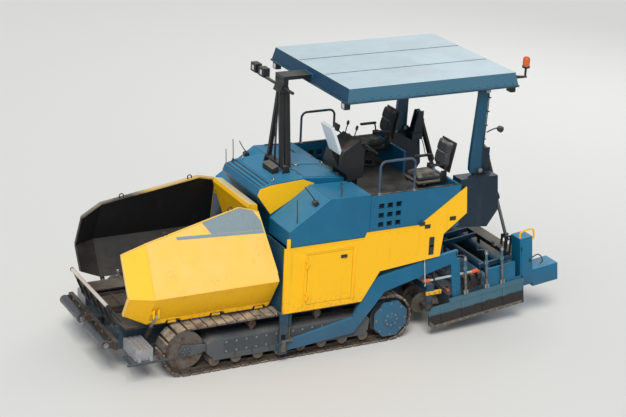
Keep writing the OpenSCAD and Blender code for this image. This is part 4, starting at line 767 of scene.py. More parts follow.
def wingHem():
    # a hanging flange under the lower face, in tabs with notches between them
    y, low, high = wing["hemY"], wing["hemLow"], wing["hemHigh"]
    tabs = [slab([(start + 0.03, low), (end - 0.03, low), (end, high), (start, high)], y - 0.004, y + 0.004,
                 0.002) for start, end in wing["tabs"]]
    return joined(*tabs, between((1.10, y - 0.003, high - 0.022), (wing["noseX"], y + 0.003, high), 0.002))


def wingFittings():
    # weld beads along the crease and up the bend, and two lifting eyes on the upper edge
    x = np.linspace(1.11, 2.885, 40)
    wobble = 0.0008 * np.sin(x * 190)
    bead = tube(np.stack([x, np.full(40, 1.2005) + wobble, np.full(40, 1.2105)], -1), 0.005, 6)
    x2 = np.linspace(2.89, 3.19, 8)
    bead2 = tube(np.stack([x2, wingFace(x2, np.full(8, 1.2101)), np.full(8, 1.2105)], -1), 0.005, 6)
    zb = np.linspace(1.22, 1.855, 20)
    bend = tube(np.stack([np.full(20, 2.892), wingFace(np.full(20, 2.89), zb) + 0.001, zb], -1), 0.004, 6, (1, 0, 0))
    eyes = []
    for xe in wing["eyes"]:
        ze = wing["top"][1] - (xe - wing["top"][0]) * wing["topFall"]
        ring = circle(wing["eyeR"], 20)
        at = (xe, float(wingFace(xe, ze)) - 0.022, ze + 0.028)
        loop = np.stack([ring[:, 0] + at[0], np.full(20, at[1]), ring[:, 1] + at[2]], -1)
        eyes.append(carried(circle(0.008, 8), loop, (0, 1, 0), around=True))
    return joined(bead, bead2, bend), joined(*eyes)


beads, eyes = wingFittings()
for side, flip in sides:
    piece("wingTrim" + side.capitalize(), [("wingRim", flip(wingRim())), ("wingPaint", flip(wingHem())),
                                           ("wingPaint", flip(beads)), ("blackPaint", flip(eyes))],
          "wing_" + side)
print("wings trimmed")

residue = {"floor": 0.652, "shelfAt": 0.60, "shelfRise": 0.20, "thick": 0.020}


def crust(x0, x1, y0, y1, heightAt, seed, nx, ny):
    # left asphalt: z(x, y) = ground(x, y) + thickness * a sum of random waves, thinned to the rim,
    # with an underside that follows the ground
    rng = np.random.default_rng(seed)
    u, v = np.meshgrid(np.linspace(0, 1, nx), np.linspace(0, 1, ny), indexing="ij")
    x, y = x0 + (x1 - x0) * u, y0 + (y1 - y0) * v
    k = rng.normal(0, 16, (26, 2))
    k[13:] *= 3.2
    amp = np.concatenate([np.full(13, 0.16), np.full(13, 0.07)])
    wave = (amp[:, None, None] * np.sin(k[:, :1, None] * x + k[:, 1:, None] * y
                                        + rng.uniform(0, 6.28, (26, 1, 1)))).sum(0)
    rim = np.minimum(np.minimum(u, 1 - u) * 6, np.minimum(v, 1 - v) * 5).clip(0, 1)
    ground = heightAt(x, y)
    top = ground + residue["thick"] * (0.25 + wave).clip(0, 1.5) * rim ** 0.5 - 0.0015
    base = ground - 0.004
    return skinned(np.concatenate([np.stack([x, y, top], -1), np.stack([x, y, base], -1)[:, ::-1]], axis=1))


def hopperCrust():
    # a strip along the foot of each shelf, where the ground starts to rise, and one between the conveyors
    floor = lambda x, y: np.full_like(x, residue["floor"])
    shelf = lambda x, y: residue["floor"] + (np.abs(y) - residue["shelfAt"]).clip(0, 1) * residue["shelfRise"]
    return joined(crust(1.2, 3.1, 0.585, 0.70, shelf, 3, 90, 10),
                  crust(1.2, 3.1, -0.70, -0.585, shelf, 4, 90, 10),
                  crust(1.15, 1.6, -0.03, 0.03, floor, 5, 30, 8))


chain = {"pitch": 0.0925, "rear": -1.05, "front": 3.04, "z": 0.605, "lanes": (0.062, 0.568)}


def chainRun():
    # the drag chains at both edges of each conveyor: two rows of link plates over a rod at each joint
    pitch, x0 = chain["pitch"], chain["rear"]
    n = int((chain["front"] - x0) / pitch)
    a = np.linspace(-np.pi / 2, np.pi / 2, 6)
    ends = np.stack([pitch / 2 + 0.016 * np.cos(a), 0.016 * np.sin(a)], -1)
    line = np.concatenate([ends, ends[::-1] * [-1, 1]])
    at = np.stack([x0 + pitch * (np.arange(n) + 0.5), np.zeros(n), np.full(n, chain["z"])], -1)
    even, odd = at[::2], at[1::2]
    parts = []
    for y in chain["lanes"]:
        for d in (-0.014, 0.014):
            parts.append(copies(slab(line, -0.003, 0.003), even + [0, y + d, 0]))
            parts.append(copies(slab(line, -0.003, 0.003), odd + [0, y + d * 0.6, 0]))
        parts.append(copies(turned([(0.010, -0.022), (0.010, 0.022)], axis=(0, 1, 0), count=8),
                            at - [pitch / 2, -y, 0]))
    return joined(*parts)


piece("conveyorChains", [("chainSteel", bothSides(chainRun()))], bodyOf("conveyor_slats"))
piece("hopperResidue", [("asphaltCrust", hopperCrust())], bodyOf("hopper_floor"))

apron = {"barX": 3.356, "barZ": 0.987, "barR": 0.026, "half": 0.70, "foot": (3.225, 0, 0.655),
         "lean": math.degrees(math.atan(0.130 / 0.330))}


def apronTrim():
    # a bar along the apron's top edge with a cap at each end, and stiffeners on its front that lean with it
    x, z, half = apron["barX"], apron["barZ"], apron["half"]
    bar = tube([(x, y, z) for y in np.linspace(-half, half, 8)], apron["barR"], 14)
    caps = joined(*[turned([(0.030, -0.01), (0.030, 0.01)], (x, y, z), (0, 1, 0), 14) for y in (-half, half)])
    rib = [(0.012, 0.03), (0.036, 0.05), (0.036, 0.27), (0.012, 0.30)]
    ribs = [moved(slab(rib, y - 0.004, y + 0.004), apron["foot"], turnAbout("Y", apron["lean"]))
            for y in (-0.52, -0.26, 0.0, 0.26, 0.52)]
    return bar, joined(caps, *ribs)


apronBar, apronRibs = apronTrim()
piece("apronTrim", [("paleWorn", apronBar), ("blackPaint", apronRibs)], bodyOf("front_apron"))

push = {"x": 3.435, "z": 0.5, "radius": 0.0655, "nutsY": ((0.852, 1), (0.078, -1)), "bandsY": (0.118, 0.812),
        "beamX": 3.34}


def pushTrim():
    # nuts at both ends of the rollers' shafts, studs on the beam's face, and gussets behind it
    nuts = joined(*[boltHeads([(push["x"], y, push["z"])], (0, way, 0), 2.0) for y, way in push["nutsY"]])
    gussets = joined(*[slab([(3.28, 0.565), (3.28, 0.44), (3.31, 0.44), (3.31, 0.565)], y - 0.008, y + 0.008,
                            0.002) for y in (0.30, 0.62)])
    studs = boltHeads([(push["beamX"], y, z) for y in (0.2, 0.45, 0.7) for z in (0.47, 0.53)], (1, 0, 0), 0.9)
    return joined(nuts, studs), gussets


nuts, gussets = pushTrim()
piece("pushTrim", [("boltSteel", bothSides(nuts)), ("blackPaint", bothSides(gussets))], bodyOf("push_beam"))


def rollerRings(side):
    # a worn band near each end of a roller
    return joined(*[turned([(push["radius"], -0.006), (push["radius"], 0.006)], (push["x"], y * side, push["z"]),
                           (0, 1, 0), 40) for y in push["bandsY"]])


for side, name in ((1, "left"), (-1, "right")):
    piece("rollerRings_" + name, [("wornSteel", rollerRings(side))], "push_roller_" + name)
print("hopper fitted")


# Hood, side panels and vents

hoodLine = np.array([(-0.17, 2.34), (0.48, 2.41), (0.96, 2.38), (1.13, 2.33), (1.165, 2.235)])
hood = {"ridges": (1.105, 1.045, 0.985), "ridgeTilt": 17, "filler": (0.30, 0.0, 2.388), "catchX": 0.452,
        "lids": ((-0.14, 0.44, 0.03, 0.54, 0.007), (-0.14, 0.44, -0.54, -0.03, 0.007),
                 (0.80, 0.95, -0.54, 0.54, 0.005)), "hingeX": -0.145, "hinges": (0.14, 0.42, -0.14, -0.42),
        "catches": (0.20, 0.40, -0.20, -0.40), "eyes": ((0.90, 0.50), (0.90, -0.50), (-0.10, 0.0))}


def hoodTop(x):
    # the hood's top over its length, as straight stretches between the source's corners
    return np.interp(x, hoodLine[:, 0], hoodLine[:, 1])


def lid(x0, x1, y0, y1, thick):
    # a plate lying on one stretch of the hood's top, its rims broken
    z0, z1 = float(hoodTop(x0)), float(hoodTop(x1))
    return slab([(x0, z0 - 0.002), (x1, z1 - 0.002), (x1, z1 + thick), (x0, z0 + thick)], y0, y1, 0.003)


def hoodFittings():
    # three ridges across the front slope, two lids with hinges, catches and lifting eyes, and a filler cap
    ridges = joined(*[moved(block((0.022, 1.09, 0.018), 0.006), (x, 0, float(hoodTop(x)) + 0.002),
                            turnAbout("Y", hood["ridgeTilt"])) for x in hood["ridges"]])
    lids = joined(*[lid(*place) for place in hood["lids"]])
    hinges = joined(*[turned([(0.011, -0.045), (0.011, 0.045)], (hood["hingeX"], y, 2.350), (0, 1, 0), 12)
                      for y in hood["hinges"]])
    catches = joined(*[moved(block((0.05, 0.022, 0.012), 0.004), (hood["catchX"], y, 2.414))
                       for y in hood["catches"]])
    cap = turned([(0.055, 0), (0.055, 0.02), (0.05, 0.026), (0.02, 0.028)], hood["filler"], (0, 0, 1), 28)
    ring = circle(0.03, 16)
    eyes = joined(*[carried(circle(0.008, 8), np.stack([np.full(16, x), y + ring[:, 0],
                                                        float(hoodTop(x)) + 0.022 + ring[:, 1]], -1),
                            (1, 0, 0), around=True) for x, y in hood["eyes"]])
    return ridges, lids, joined(hinges, catches, cap, eyes)


antenna = {"foot": (1.02, -0.54, 2.352), "height": 0.33, "radius": 0.006, "bend": 0.012}


def antennaShape():
    # a whip on a rubber foot at the hood's far front corner, bent by the square of its height
    s = np.linspace(0, 1, 14)
    x, y, z = antenna["foot"]
    path = np.stack([x + antenna["bend"] * s ** 2, np.full(14, y), z + 0.003 + antenna["height"] * s], -1)
    return joined(tube(path, antenna["radius"], 8, (1, 0, 0)),
                  turned([(0.022, 0), (0.022, 0.012), (0.011, 0.05), (0.006, 0.06)], (x, y, z), (0, 0, 1), 14))


shoulder = {"footX": 0.98, "footZ": 1.905, "slope": 0.675, "edges": (0.72, 1.212)}


def shoulderFittings():
    # on each shoulder: a prop rod, a knob on a bent arm, a grab strap, and seams of its cover
    slope = lambda x: shoulder["footZ"] + (shoulder["footX"] - x) * shoulder["slope"]
    rod = tube([(0.84, 1.16, slope(0.84) - 0.004), (0.842, 1.16, slope(0.84) + 0.15),
                (0.85, 1.158, slope(0.84) + 0.33)], 0.006, 8, (1, 0, 0))
    arm = tube(curveThrough([(0.54, 1.10, slope(0.54)), (0.56, 1.11, slope(0.54) + 0.07),
                             (0.62, 1.10, slope(0.54) + 0.16), (0.69, 1.05, slope(0.54) + 0.26)], 18),
               0.007, 8, (0.2, 1, 0))
    knob = moved(block((0.07, 0.09, 0.07), 0.016), (0.55, 1.11, slope(0.55) + 0.04), turnAbout("Y", 30))
    strap = tube(curveThrough([(-0.06, 0.72, 2.296), (0.0, 0.80, 2.345), (0.10, 1.02, 2.352), (0.19, 1.17, 2.318),
                               (0.22, 1.21, 2.295)], 24), 0.009, 8, (0.1, 0.2, 1))
    seams = joined(*[tube([(0.966, y, 1.912), (0.39, y, 2.3005)], 0.0035, 6) for y in shoulder["edges"]],
                   tube([(0.9785, 0.74, 1.903), (0.9785, 1.21, 1.903)], 0.004, 6),
                   tube([(0.3805, 0.74, 2.3095), (0.3805, 1.21, 2.3095)], 0.004, 6))
    return joined(rod, arm, knob, strap), seams


ridges, lids, hoodBits = hoodFittings()
shoulderBits, shoulderSeams = shoulderFittings()
piece("hoodFittings", [("darkTealPaint", ridges), ("tealPaint", lids), ("boltSteel", hoodBits),
                       ("blackPlastic", antennaShape())], bodyOf("hood"))
piece("shoulderFittings", [("blackPlastic", bothSides(shoulderBits)), ("tealPaint", bothSides(shoulderSeams))],
      bodyOf("shoulders"))

panel = {"out": 1.250, "front": 1.050, "low": 0.735, "high": 1.680, "doorX0": 0.0, "doorX1": 0.70, "doorZ0": 0.82,
         "doorZ1": 1.55,
         "latches": ((-1.075, 1.77, 0.045, 0.03), (-1.165, 1.72, 0.045, 0.03), (-1.57, 1.79, 0.05, 0.03),
                     (-1.25, 1.475, 0.04, 0.075), (-1.25, 1.36, 0.04, 0.075))}


def panelFittings():
    # pressed frames beside the door, a flange round the panel, latches on the tail, screws, and a post in front
    y = panel["out"]
    frames = joined(*[between((x - 0.011, y - 0.003, panel["doorZ0"] - 0.06),
                              (x + 0.011, y + 0.009, panel["doorZ1"] + 0.05), 0.004)
                      for x in (panel["doorX0"] - 0.04, panel["doorX1"] + 0.055)],
                    between((panel["doorX0"] - 0.05, y - 0.003, panel["doorZ1"] + 0.028),
                            (panel["doorX1"] + 0.066, y + 0.008, panel["doorZ1"] + 0.05), 0.004))
    front, low, high = panel["front"], panel["low"], panel["high"]
    flange = joined(between((-0.16, y - 0.004, low), (front, y + 0.006, low + 0.022), 0.004),
                    between((front - 0.016, y - 0.004, low), (front, y + 0.006, high), 0.004),
                    between((-0.17, y - 0.004, high - 0.014), (front, y + 0.005, high), 0.003),
                    between((-1.05, y - 0.004, 1.736), (-0.215, y + 0.005, 1.750), 0.003))
    post = moved(block((0.05, 0.026, 0.16), 0.006), (0.99, 1.236, 1.735))
    latches = joined(*[moved(block((w * 2, 0.012, h * 2), 0.005), (x, y + 0.003, z))
                       for x, z, w, h in panel["latches"]])
    grip = joined(moved(block((0.10, 0.012, 0.05), 0.005), (0.14, y + 0.002, 1.46)),
                  tube(curveThrough([(0.10, y + 0.004, 1.46), (0.11, y + 0.02, 1.46), (0.17, y + 0.02, 1.46),
                                     (0.18, y + 0.004, 1.46)], 14), 0.005, 8))
    screws = boltHeads([(x, y + 0.004, 1.705) for x in np.linspace(-0.95, -0.3, 6)]
                       + [(x, y + 0.004, 0.755) for x in np.linspace(-0.1, 1.0, 9)]
                       + [(1.03, y + 0.004, z) for z in np.linspace(0.82, 1.6, 6)] + [(-0.68, y + 0.002, 1.60)],
                       scale=0.55)
    return joined(frames, flange, post), latches, grip, screws


frames, latches, grip, screws = panelFittings()
piece("panelFittings", [("yellowPaint", bothSides(frames)), ("blackPlastic", bothSides(latches)),
                        ("yellowPaint", bothSides(screws))],
      bodyOf("side_panels"))
for side, flip in sides:
    piece("doorGrip_" + side, [("blackPlastic", flip(grip))], "side_door_" + side)

vents = {"x": -0.42, "y": 1.205, "z": 2.105, "pitch": 0.135, "size": 0.085, "count": 3, "tilt": 40,
         "louvres": (-0.026, 0.0, 0.026)}


def ventGrilles():
    # three slanted louvres and a frame in each square hole
    k = np.arange(vents["count"])
    gx, gz = np.meshgrid(vents["x"] - k * vents["pitch"], vents["z"] - k * vents["pitch"], indexing="ij")
    at = np.stack([gx.reshape(-1), np.full(gx.size, vents["y"]), gz.reshape(-1)], -1)
    half = vents["size"] / 2 + 0.001
    louvres = joined(*[moved(block((half * 2, 0.026, 0.003), 0.001, 2, 2), (0, 0, z), turnAbout("X", vents["tilt"]))
                       for z in vents["louvres"]])
    back = moved(block((half * 2, 0.003, half * 2), 0.001, 2, 2), (0, -0.024, 0))
    lip = joined(*[moved(block((0.005, 0.012, half * 2), 0.002, 2, 2), (x, 0.020, 0))
                   for x in (-half + 0.001, half - 0.001)],
                 *[moved(block((half * 2, 0.012, 0.005), 0.002, 2, 2), (0, 0.020, z))
                   for z in (-half + 0.001, half - 0.001)])
    return copies(joined(louvres, back), at), copies(lip, at)


louvres, lips = ventGrilles()


def bodyTrim():
    # a rubber strip along the body's rail, the seam where body and hood meet, and screws along the walls
    strip = between((-1.68, 1.176, 2.266), (-0.26, 1.224, 2.280), 0.005)
    seam = tube([(-0.252, 1.2255, 1.76), (-0.252, 1.2255, 2.268)], 0.004, 6, (1, 0, 0))
    screws = boltHeads([(x, 1.225, 2.235) for x in np.linspace(-1.6, -0.32, 9)]
                       + [(-0.29, 1.225, z) for z in (1.82, 1.97, 2.12)], scale=0.5)
    return strip, seam, screws


strip, bodySeam, bodyScrews = bodyTrim()
piece("bodyTrim", [("blackPaint", bothSides(louvres)), ("tealPaint", bothSides(joined(lips, bodySeam))),
                   ("blackRubber", bothSides(strip)), ("tealPaint", bothSides(bodyScrews))],
      bodyOf("platform_body"))
print("body fitted")


# Platform

deckZ = 1.95
tread = {"pitch": 0.055, "bar": (0.034, 0.008, 0.003)}
rail = {"feet": (-0.93, -0.38), "y": 1.200, "foot": 2.270, "top": 2.740, "sleeve": (-0.80, -0.51)}


def lozenges(xs, ys, z):
    # short rounded bars at every (x, y), turned by 45 degrees one way and the other as on a chequerboard
    x, y = np.meshgrid(xs, ys, indexing="ij")
    odd = np.add.outer(np.arange(len(xs)), np.arange(len(ys))) % 2 == 1
    at = np.stack([x, y, np.full_like(x, z + 0.001)], -1)
    bar = block(tread["bar"], 0.0012, 2, 2)
    return joined(*[copies(moved(bar, turn=turnAbout("Z", angle)), at[mask])
                    for angle, mask in ((45, odd), (-45, ~odd)) if mask.any()])


def railFittings():
    # feet with bolts under each hoop, and a grip sleeve along the bar
    y, z = rail["y"], rail["foot"]
    feet = joined(*[turned([(0.036, 0.0), (0.036, 0.008), (0.022, 0.012), (0.0195, 0.03)], (x, y, z), (0, 0, 1), 20)
                    for x in rail["feet"]])
    bolts = boltHeads([(x + a, y, z + 0.007) for x in rail["feet"] for a in (0.027, -0.027)], (0, 0, 1), 0.35)
    sleeve = tube([(x, y, rail["top"]) for x in np.linspace(*rail["sleeve"], 6)], 0.0185, 14)
    return joined(feet, bolts), sleeve


railFeet, sleeve = railFittings()
deckPattern = lozenges(np.arange(-1.60, -0.30, tread["pitch"]), np.arange(-1.12, 1.13, tread["pitch"]), deckZ)
piece("deckTread", [("blackPaint", deckPattern)], bodyOf("platform_deck"))
piece("railFittings", [("boltSteel", bothSides(railFeet)), ("railPaint", bothSides(sleeve))], bodyOf("handrails"))

console = {"y": 0.43, "low": (-0.42, 2.71), "high": (-0.33, 2.89), "wheel": (-0.585, 2.70), "wheelRadius": 0.17,
           "wheelTilt": -38, "displayTilt": -14}


def consoleFittings():
    # the operator's face of the pod: a screen, dials, rocker keys and two levers; the lid's white cover;
    # a small display on a stalk; a steering wheel
    low, high = np.array(console["low"]), np.array(console["high"])
    ahead = (high - low) / np.linalg.norm(high - low)
    out = np.array([-ahead[1], ahead[0]])

    def onFace(shape, along, across, lift=0.0):
        # local x to the machine's left, local y up the face, local z out of it
        at = low + ahead * along + out * lift
        turn = np.array([[0, ahead[0], out[0]], [1, 0, 0], [0, ahead[1], out[1]]])
        return moved(shape, (at[0], console["y"] + across, at[1]), turn)

    bezel = onFace(block((0.19, 0.13, 0.024), 0.006), 0.115, 0.0, 0.006)
    screen = onFace(block((0.16, 0.10, 0.004), 0.002), 0.115, 0.0, 0.019)
    dials = joined(*[onFace(turned([(0.024, 0), (0.024, 0.012), (0.020, 0.015), (0.018, 0.011)], count=20), a, c)
                     for a, c in ((0.15, 0.145), (0.09, 0.145), (0.15, -0.145), (0.09, -0.145))])
    keys = joined(*[onFace(block((0.018, 0.026, 0.014), 0.004), 0.025, c, 0.004) for c in np.linspace(-0.2, 0.2, 11)])
    knobs = joined(*[onFace(turned([(0.010, 0), (0.010, 0.02), (0.016, 0.03), (0.018, 0.045), (0.010, 0.055)],
                                   count=14), a, c) for a, c in ((0.12, 0.205), (0.12, -0.205))])
    levers = []
    for c in (-0.13, 0.13):
        foot = np.array([-0.30, console["y"] + c, 2.895])
        path = foot + np.array([[0, 0, -0.02], [-0.01, 0, 0.05], [-0.03, 0, 0.11]])
        levers.append(tube(path, 0.008, 8, (0, 1, 0)))
        levers.append(moved(turned([(0.010, 0), (0.019, 0.012), (0.021, 0.04), (0.012, 0.066)], axis=(-0.2, 0, 1),
                                   count=14), path[-1]))
    lidShape = slab([(-0.108, 2.700), (-0.070, 2.684), (0.080, 3.076), (0.040, 3.094)], console["y"] - 0.16,
                    console["y"] + 0.17, 0.006)
    stay = tube([(-0.14, console["y"] + 0.13, 2.80), (-0.02, console["y"] + 0.12, 2.90)], 0.006, 8, (0, 1, 0))
    stalk = tube(curveThrough([(-0.40, 0.16, 2.60), (-0.42, 0.10, 2.72), (-0.33, 0.09, 2.84), (-0.27, 0.09, 2.88)],
                              18), 0.009, 8)
    displayTurn = turnAbout("Y", console["displayTilt"])
    display = moved(block((0.035, 0.15, 0.10), 0.012), (-0.27, 0.09, 2.92), displayTurn)
    glass = moved(block((0.004, 0.128, 0.078), 0.002), (-0.288, 0.09, 2.924), displayTurn)
    radius = console["wheelRadius"]
    hub, wheelTurn = (console["wheel"][0], console["y"], console["wheel"][1]), turnAbout("Y", console["wheelTilt"])
    rim = np.concatenate([circle(radius, 36), np.zeros((36, 1))], 1)
    wheel = moved(carried(circle(0.013, 8), rim, around=True), hub, wheelTurn)
    spokes = joined(*[moved(tube([(0, 0, -0.03), (0.09 * math.cos(a), 0.09 * math.sin(a), -0.012),
                                  (radius * math.cos(a), radius * math.sin(a), 0)], 0.008, 8), hub, wheelTurn)
                      for a in (0.5, 2.6, 4.7)])
    stem = tube([(-0.57, console["y"], 2.68), (-0.42, console["y"], 2.50)], 0.022, 12)
    return (joined(bezel, dials, keys, knobs, *levers, stay, stalk, display, wheel, spokes, stem),
            joined(screen, glass), lidShape)


consoleBits, screens, lidShape = consoleFittings()
piece("consoleFittings", [("blackPlastic", consoleBits), ("screenGlass", screens), ("whitePaint", lidShape)],
      bodyOf("operator_console"))


# Seats: a pan and a back of foam under cloth, worked out once and used for both seats

seatAt = {"x": -1.33, "y": 0.80, "panZ": 2.28, "backX": -1.58, "backZ": 2.33, "lean": 12.0, "thick": 0.060,
          "pull": 0.05, "channel": 0.0075, "voxel": 0.006, "pressure": 4.0, "swell": 0.022, "frames": 20}


def foam(name, outline, channels):
    # rings over the thickness t, which shrink as the fourth root of 1 - 0.55 t^4; between the corners
    # the sides pull in by pull * cos(pi u / 2), and the result is blown up as cloth
    halfA, halfB, corner = outline
    thick = seatAt["thick"]
    ring = roundedOutline(halfA, halfB, corner, 8)
    reach = np.abs(ring / [halfA, halfB]).max(1)[:, None]
    arch = np.stack([np.cos(ring[:, 1] / halfB * np.pi / 2), np.cos(ring[:, 0] / halfA * np.pi / 2)], -1)
    pull = 1 - seatAt["pull"] * arch * reach
    t = np.linspace(-1, 1, 9)
    size = (1 - np.abs(t) ** 4 * 0.55) ** 0.25 * 0.96
    rings = [np.concatenate([ring * pull * s, np.full((len(ring), 1), z * thick / 2)], -1) for s, z in zip(size, t)]
    rings = [rings[0] * [0.8, 0.8, 1]] + rings + [rings[-1] * [0.8, 0.8, 1]]
    made = rawObject(name, skinned(np.array(rings)))
    inflate(made)
    mesh = made.data
    points = np.empty(len(mesh.vertices) * 3)
    mesh.vertices.foreach_get("co", points)
    points = points.reshape(-1, 3)
    face = (np.abs(points[:, 2]) / (thick / 2)).clip(0, 1) ** 2
    for along, place, depth in channels:  # sewn channels: a narrow dip across the top and bottom faces
        dip = np.exp(-((points[:, along] - place) / seatAt["channel"]) ** 2) * depth * face
        points[:, 2] -= np.sign(points[:, 2]) * dip
    rest = points[:, 2] < -thick * 0.30
    points[rest, 2] = np.maximum(points[rest, 2], -thick * 0.5)
    mesh.vertices.foreach_set("co", points.reshape(-1))
    mesh.update()
    return made


def rawObject(name, shape):
    # a shape as a plain mesh object, its double points made one
    points, quads, tris = shape
    mesh = bpy.data.meshes.new(name)
    mesh.from_pydata(points.tolist(), [], quads.tolist() + tris.tolist())
    work = bmesh.new()
    work.from_mesh(mesh)
    bmesh.ops.remove_doubles(work, verts=work.verts, dist=1e-5)
    bmesh.ops.recalc_face_normals(work, faces=work.faces)
    work.to_mesh(mesh)
    work.free()
    made = bpy.data.objects.new(name, mesh)
    bpy.context.scene.collection.objects.link(made)
    return made


def inflate(made):
    # an even mesh, blown up as cloth for some frames; no point moves further than the swell
    scene = bpy.context.scene
    remesh = made.modifiers.new("even", "REMESH")
    remesh.mode, remesh.voxel_size = "VOXEL", seatAt["voxel"]
    bakedMesh(made)
    before = np.empty(len(made.data.vertices) * 3)
    made.data.vertices.foreach_get("co", before)
    cloth = made.modifiers.new("cloth", "CLOTH")
    cloth.settings.use_pressure = True
    cloth.settings.uniform_pressure_force = seatAt["pressure"]
    cloth.settings.effector_weights.gravity = 0
    for k in range(1, seatAt["frames"] + 1):
        scene.frame_set(k)
    bakedMesh(made)
    scene.frame_set(1)
    after = np.empty(len(made.data.vertices) * 3)
    made.data.vertices.foreach_get("co", after)
    step = (after - before).reshape(-1, 3)
    length = np.linalg.norm(step, axis=1)[:, None]
    step *= np.minimum(1, seatAt["swell"] / np.maximum(length, 1e-9))
    made.data.vertices.foreach_set("co", (before.reshape(-1, 3) + step).reshape(-1))
    smooth = made.modifiers.new("finer", "SUBSURF")
    smooth.levels = smooth.render_levels = 1
    bakedMesh(made)


def bakedMesh(made):
    # the modifiers' result becomes the mesh
    view = bpy.context.evaluated_depsgraph_get()
    mesh = bpy.data.meshes.new_from_object(made.evaluated_get(view))
    made.modifiers.clear()
    made.data = mesh


def placedCopy(made, name, shift, turn, finish):
    # the same foam set at another place, with its own mesh
    mesh = made.data.copy()
    points = np.empty(len(mesh.vertices) * 3)
    mesh.vertices.foreach_get("co", points)
    mesh.vertices.foreach_set("co", (points.reshape(-1, 3) @ np.array(turn, float).T + shift).reshape(-1))
    mesh.update()
    mesh.materials.clear()
    mesh.materials.append(finishes[finish])
    mesh.shade_smooth()
    new = bpy.data.objects.new(name, mesh)
    bpy.context.scene.collection.objects.link(new)
    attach(new, bodyOf("operator_seats"))


def seatsMade():
    # a pan and a back for each seat, from one foam of each kind
    pan = foam("seatPan", (0.205, 0.195, 0.055), [(1, -0.105, 0.012), (1, 0.105, 0.012), (0, 0.10, 0.010)])
    back = foam("seatBack", (0.205, 0.185, 0.06), [(1, -0.10, 0.012), (1, 0.10, 0.012), (0, -0.02, 0.010)])
    lean = turnAbout("Y", -seatAt["lean"])
    # the back's length runs upwards, and its front faces the machine's front
    upright = np.array([[0, 0, 1.0], [0, 1.0, 0], [-1.0, 0, 0]])
    for side, s in (("left", 1), ("right", -1)):
        at = np.array([seatAt["x"], s * seatAt["y"], 0])
        placedCopy(pan, "seatPan_" + side, at + [0.01, 0, seatAt["panZ"] + 0.048], np.eye(3), "seatCloth")
        foot = np.array([seatAt["backX"] + 0.005, s * seatAt["y"], seatAt["backZ"] + 0.02])
        placedCopy(back, "seatBack_" + side, foot + lean @ np.array([0, 0, 0.27]), lean @ upright, "seatCloth")
    for made in (pan, back):
        bpy.data.objects.remove(made)


def seatFrames():
    # a floor flange, a column in a rubber bellows whose radius waves with its height, slides, a pan,
    # a back shell and armrests
    x, z = seatAt["x"], deckZ
    column = turned([(0.108, 0), (0.108, 0.018), (0.09, 0.028), (0.05, 0.034), (0.05, 0.10)], (x, 0, z), count=28)
    k = np.linspace(0, 1, 43)
    bellows = turned([(0.074 + 0.016 * math.cos(2 * math.pi * 6 * t), 0.10 + 0.165 * t) for t in k], (x, 0, z),
                     count=28)
    slides = joined(*[between((x - 0.205, y - 0.018, z + 0.262), (x + 0.205, y + 0.018, z + 0.286), 0.005)
                      for y in (-0.14, 0.14)])
    pan = between((x - 0.216, -0.197, z + 0.284), (x + 0.216, 0.197, z + 0.330), 0.018)
    lean = turnAbout("Y", -seatAt["lean"])
    shellAt = np.array([seatAt["backX"] - 0.037, 0, seatAt["backZ"]]) + lean @ np.array([0, 0, 0.26])
    shell = moved(block((0.022, 0.375, 0.44), 0.010), shellAt, lean)
    hinge = joined(*[between((x - 0.25, y - 0.006, z + 0.30), (x - 0.15, y + 0.006, z + 0.47), 0.005)
                     for y in (-0.19, 0.19)])
    arms = []
    for y in (-0.212, 0.212):
        arms.append(moved(block((0.27, 0.048, 0.038), 0.016), (x - 0.08, y, z + 0.575)))
        arms.append(tube(curveThrough([(x - 0.205, y * 0.92, z + 0.40), (x - 0.21, y, z + 0.50),
                                       (x - 0.19, y, z + 0.565)], 10), 0.012, 8, (0, 1, 0)))
    bolts = boltHeads([(x + 0.092 * math.cos(a), 0.092 * math.sin(a), z + 0.022) for a in (0.8, 2.36, 3.93, 5.5)],
                      (0, 0, 1), 0.5)
    knob = turned([(0.014, 0), (0.018, 0.006), (0.018, 0.02), (0.012, 0.026)], (x + 0.12, 0.20, z + 0.30), (0, 1, 0),
                  14)
    return joined(column, slides, pan, hinge), bellows, joined(shell, knob, *arms), bolts


seatsMade()
steelBits, bellowsBits, plasticBits, seatBolts = seatFrames()
places = [(0, seatAt["y"], 0), (0, -seatAt["y"], 0)]
piece("seatFrames", [("blackPaint", copies(steelBits, places)), ("blackRubber", copies(bellowsBits, places)),
                     ("blackPlastic", copies(plasticBits, places)), ("boltSteel", copies(seatBolts, places))],
      bodyOf("operator_seats"), ("operator_seats",))
print("seats padded")


# Canopy, lamps and beacon

roof = {"x0": -2.55, "x1": 0.17, "y": 1.17, "low": 3.59, "top": 3.80, "seams": (-0.39, 0.39)}


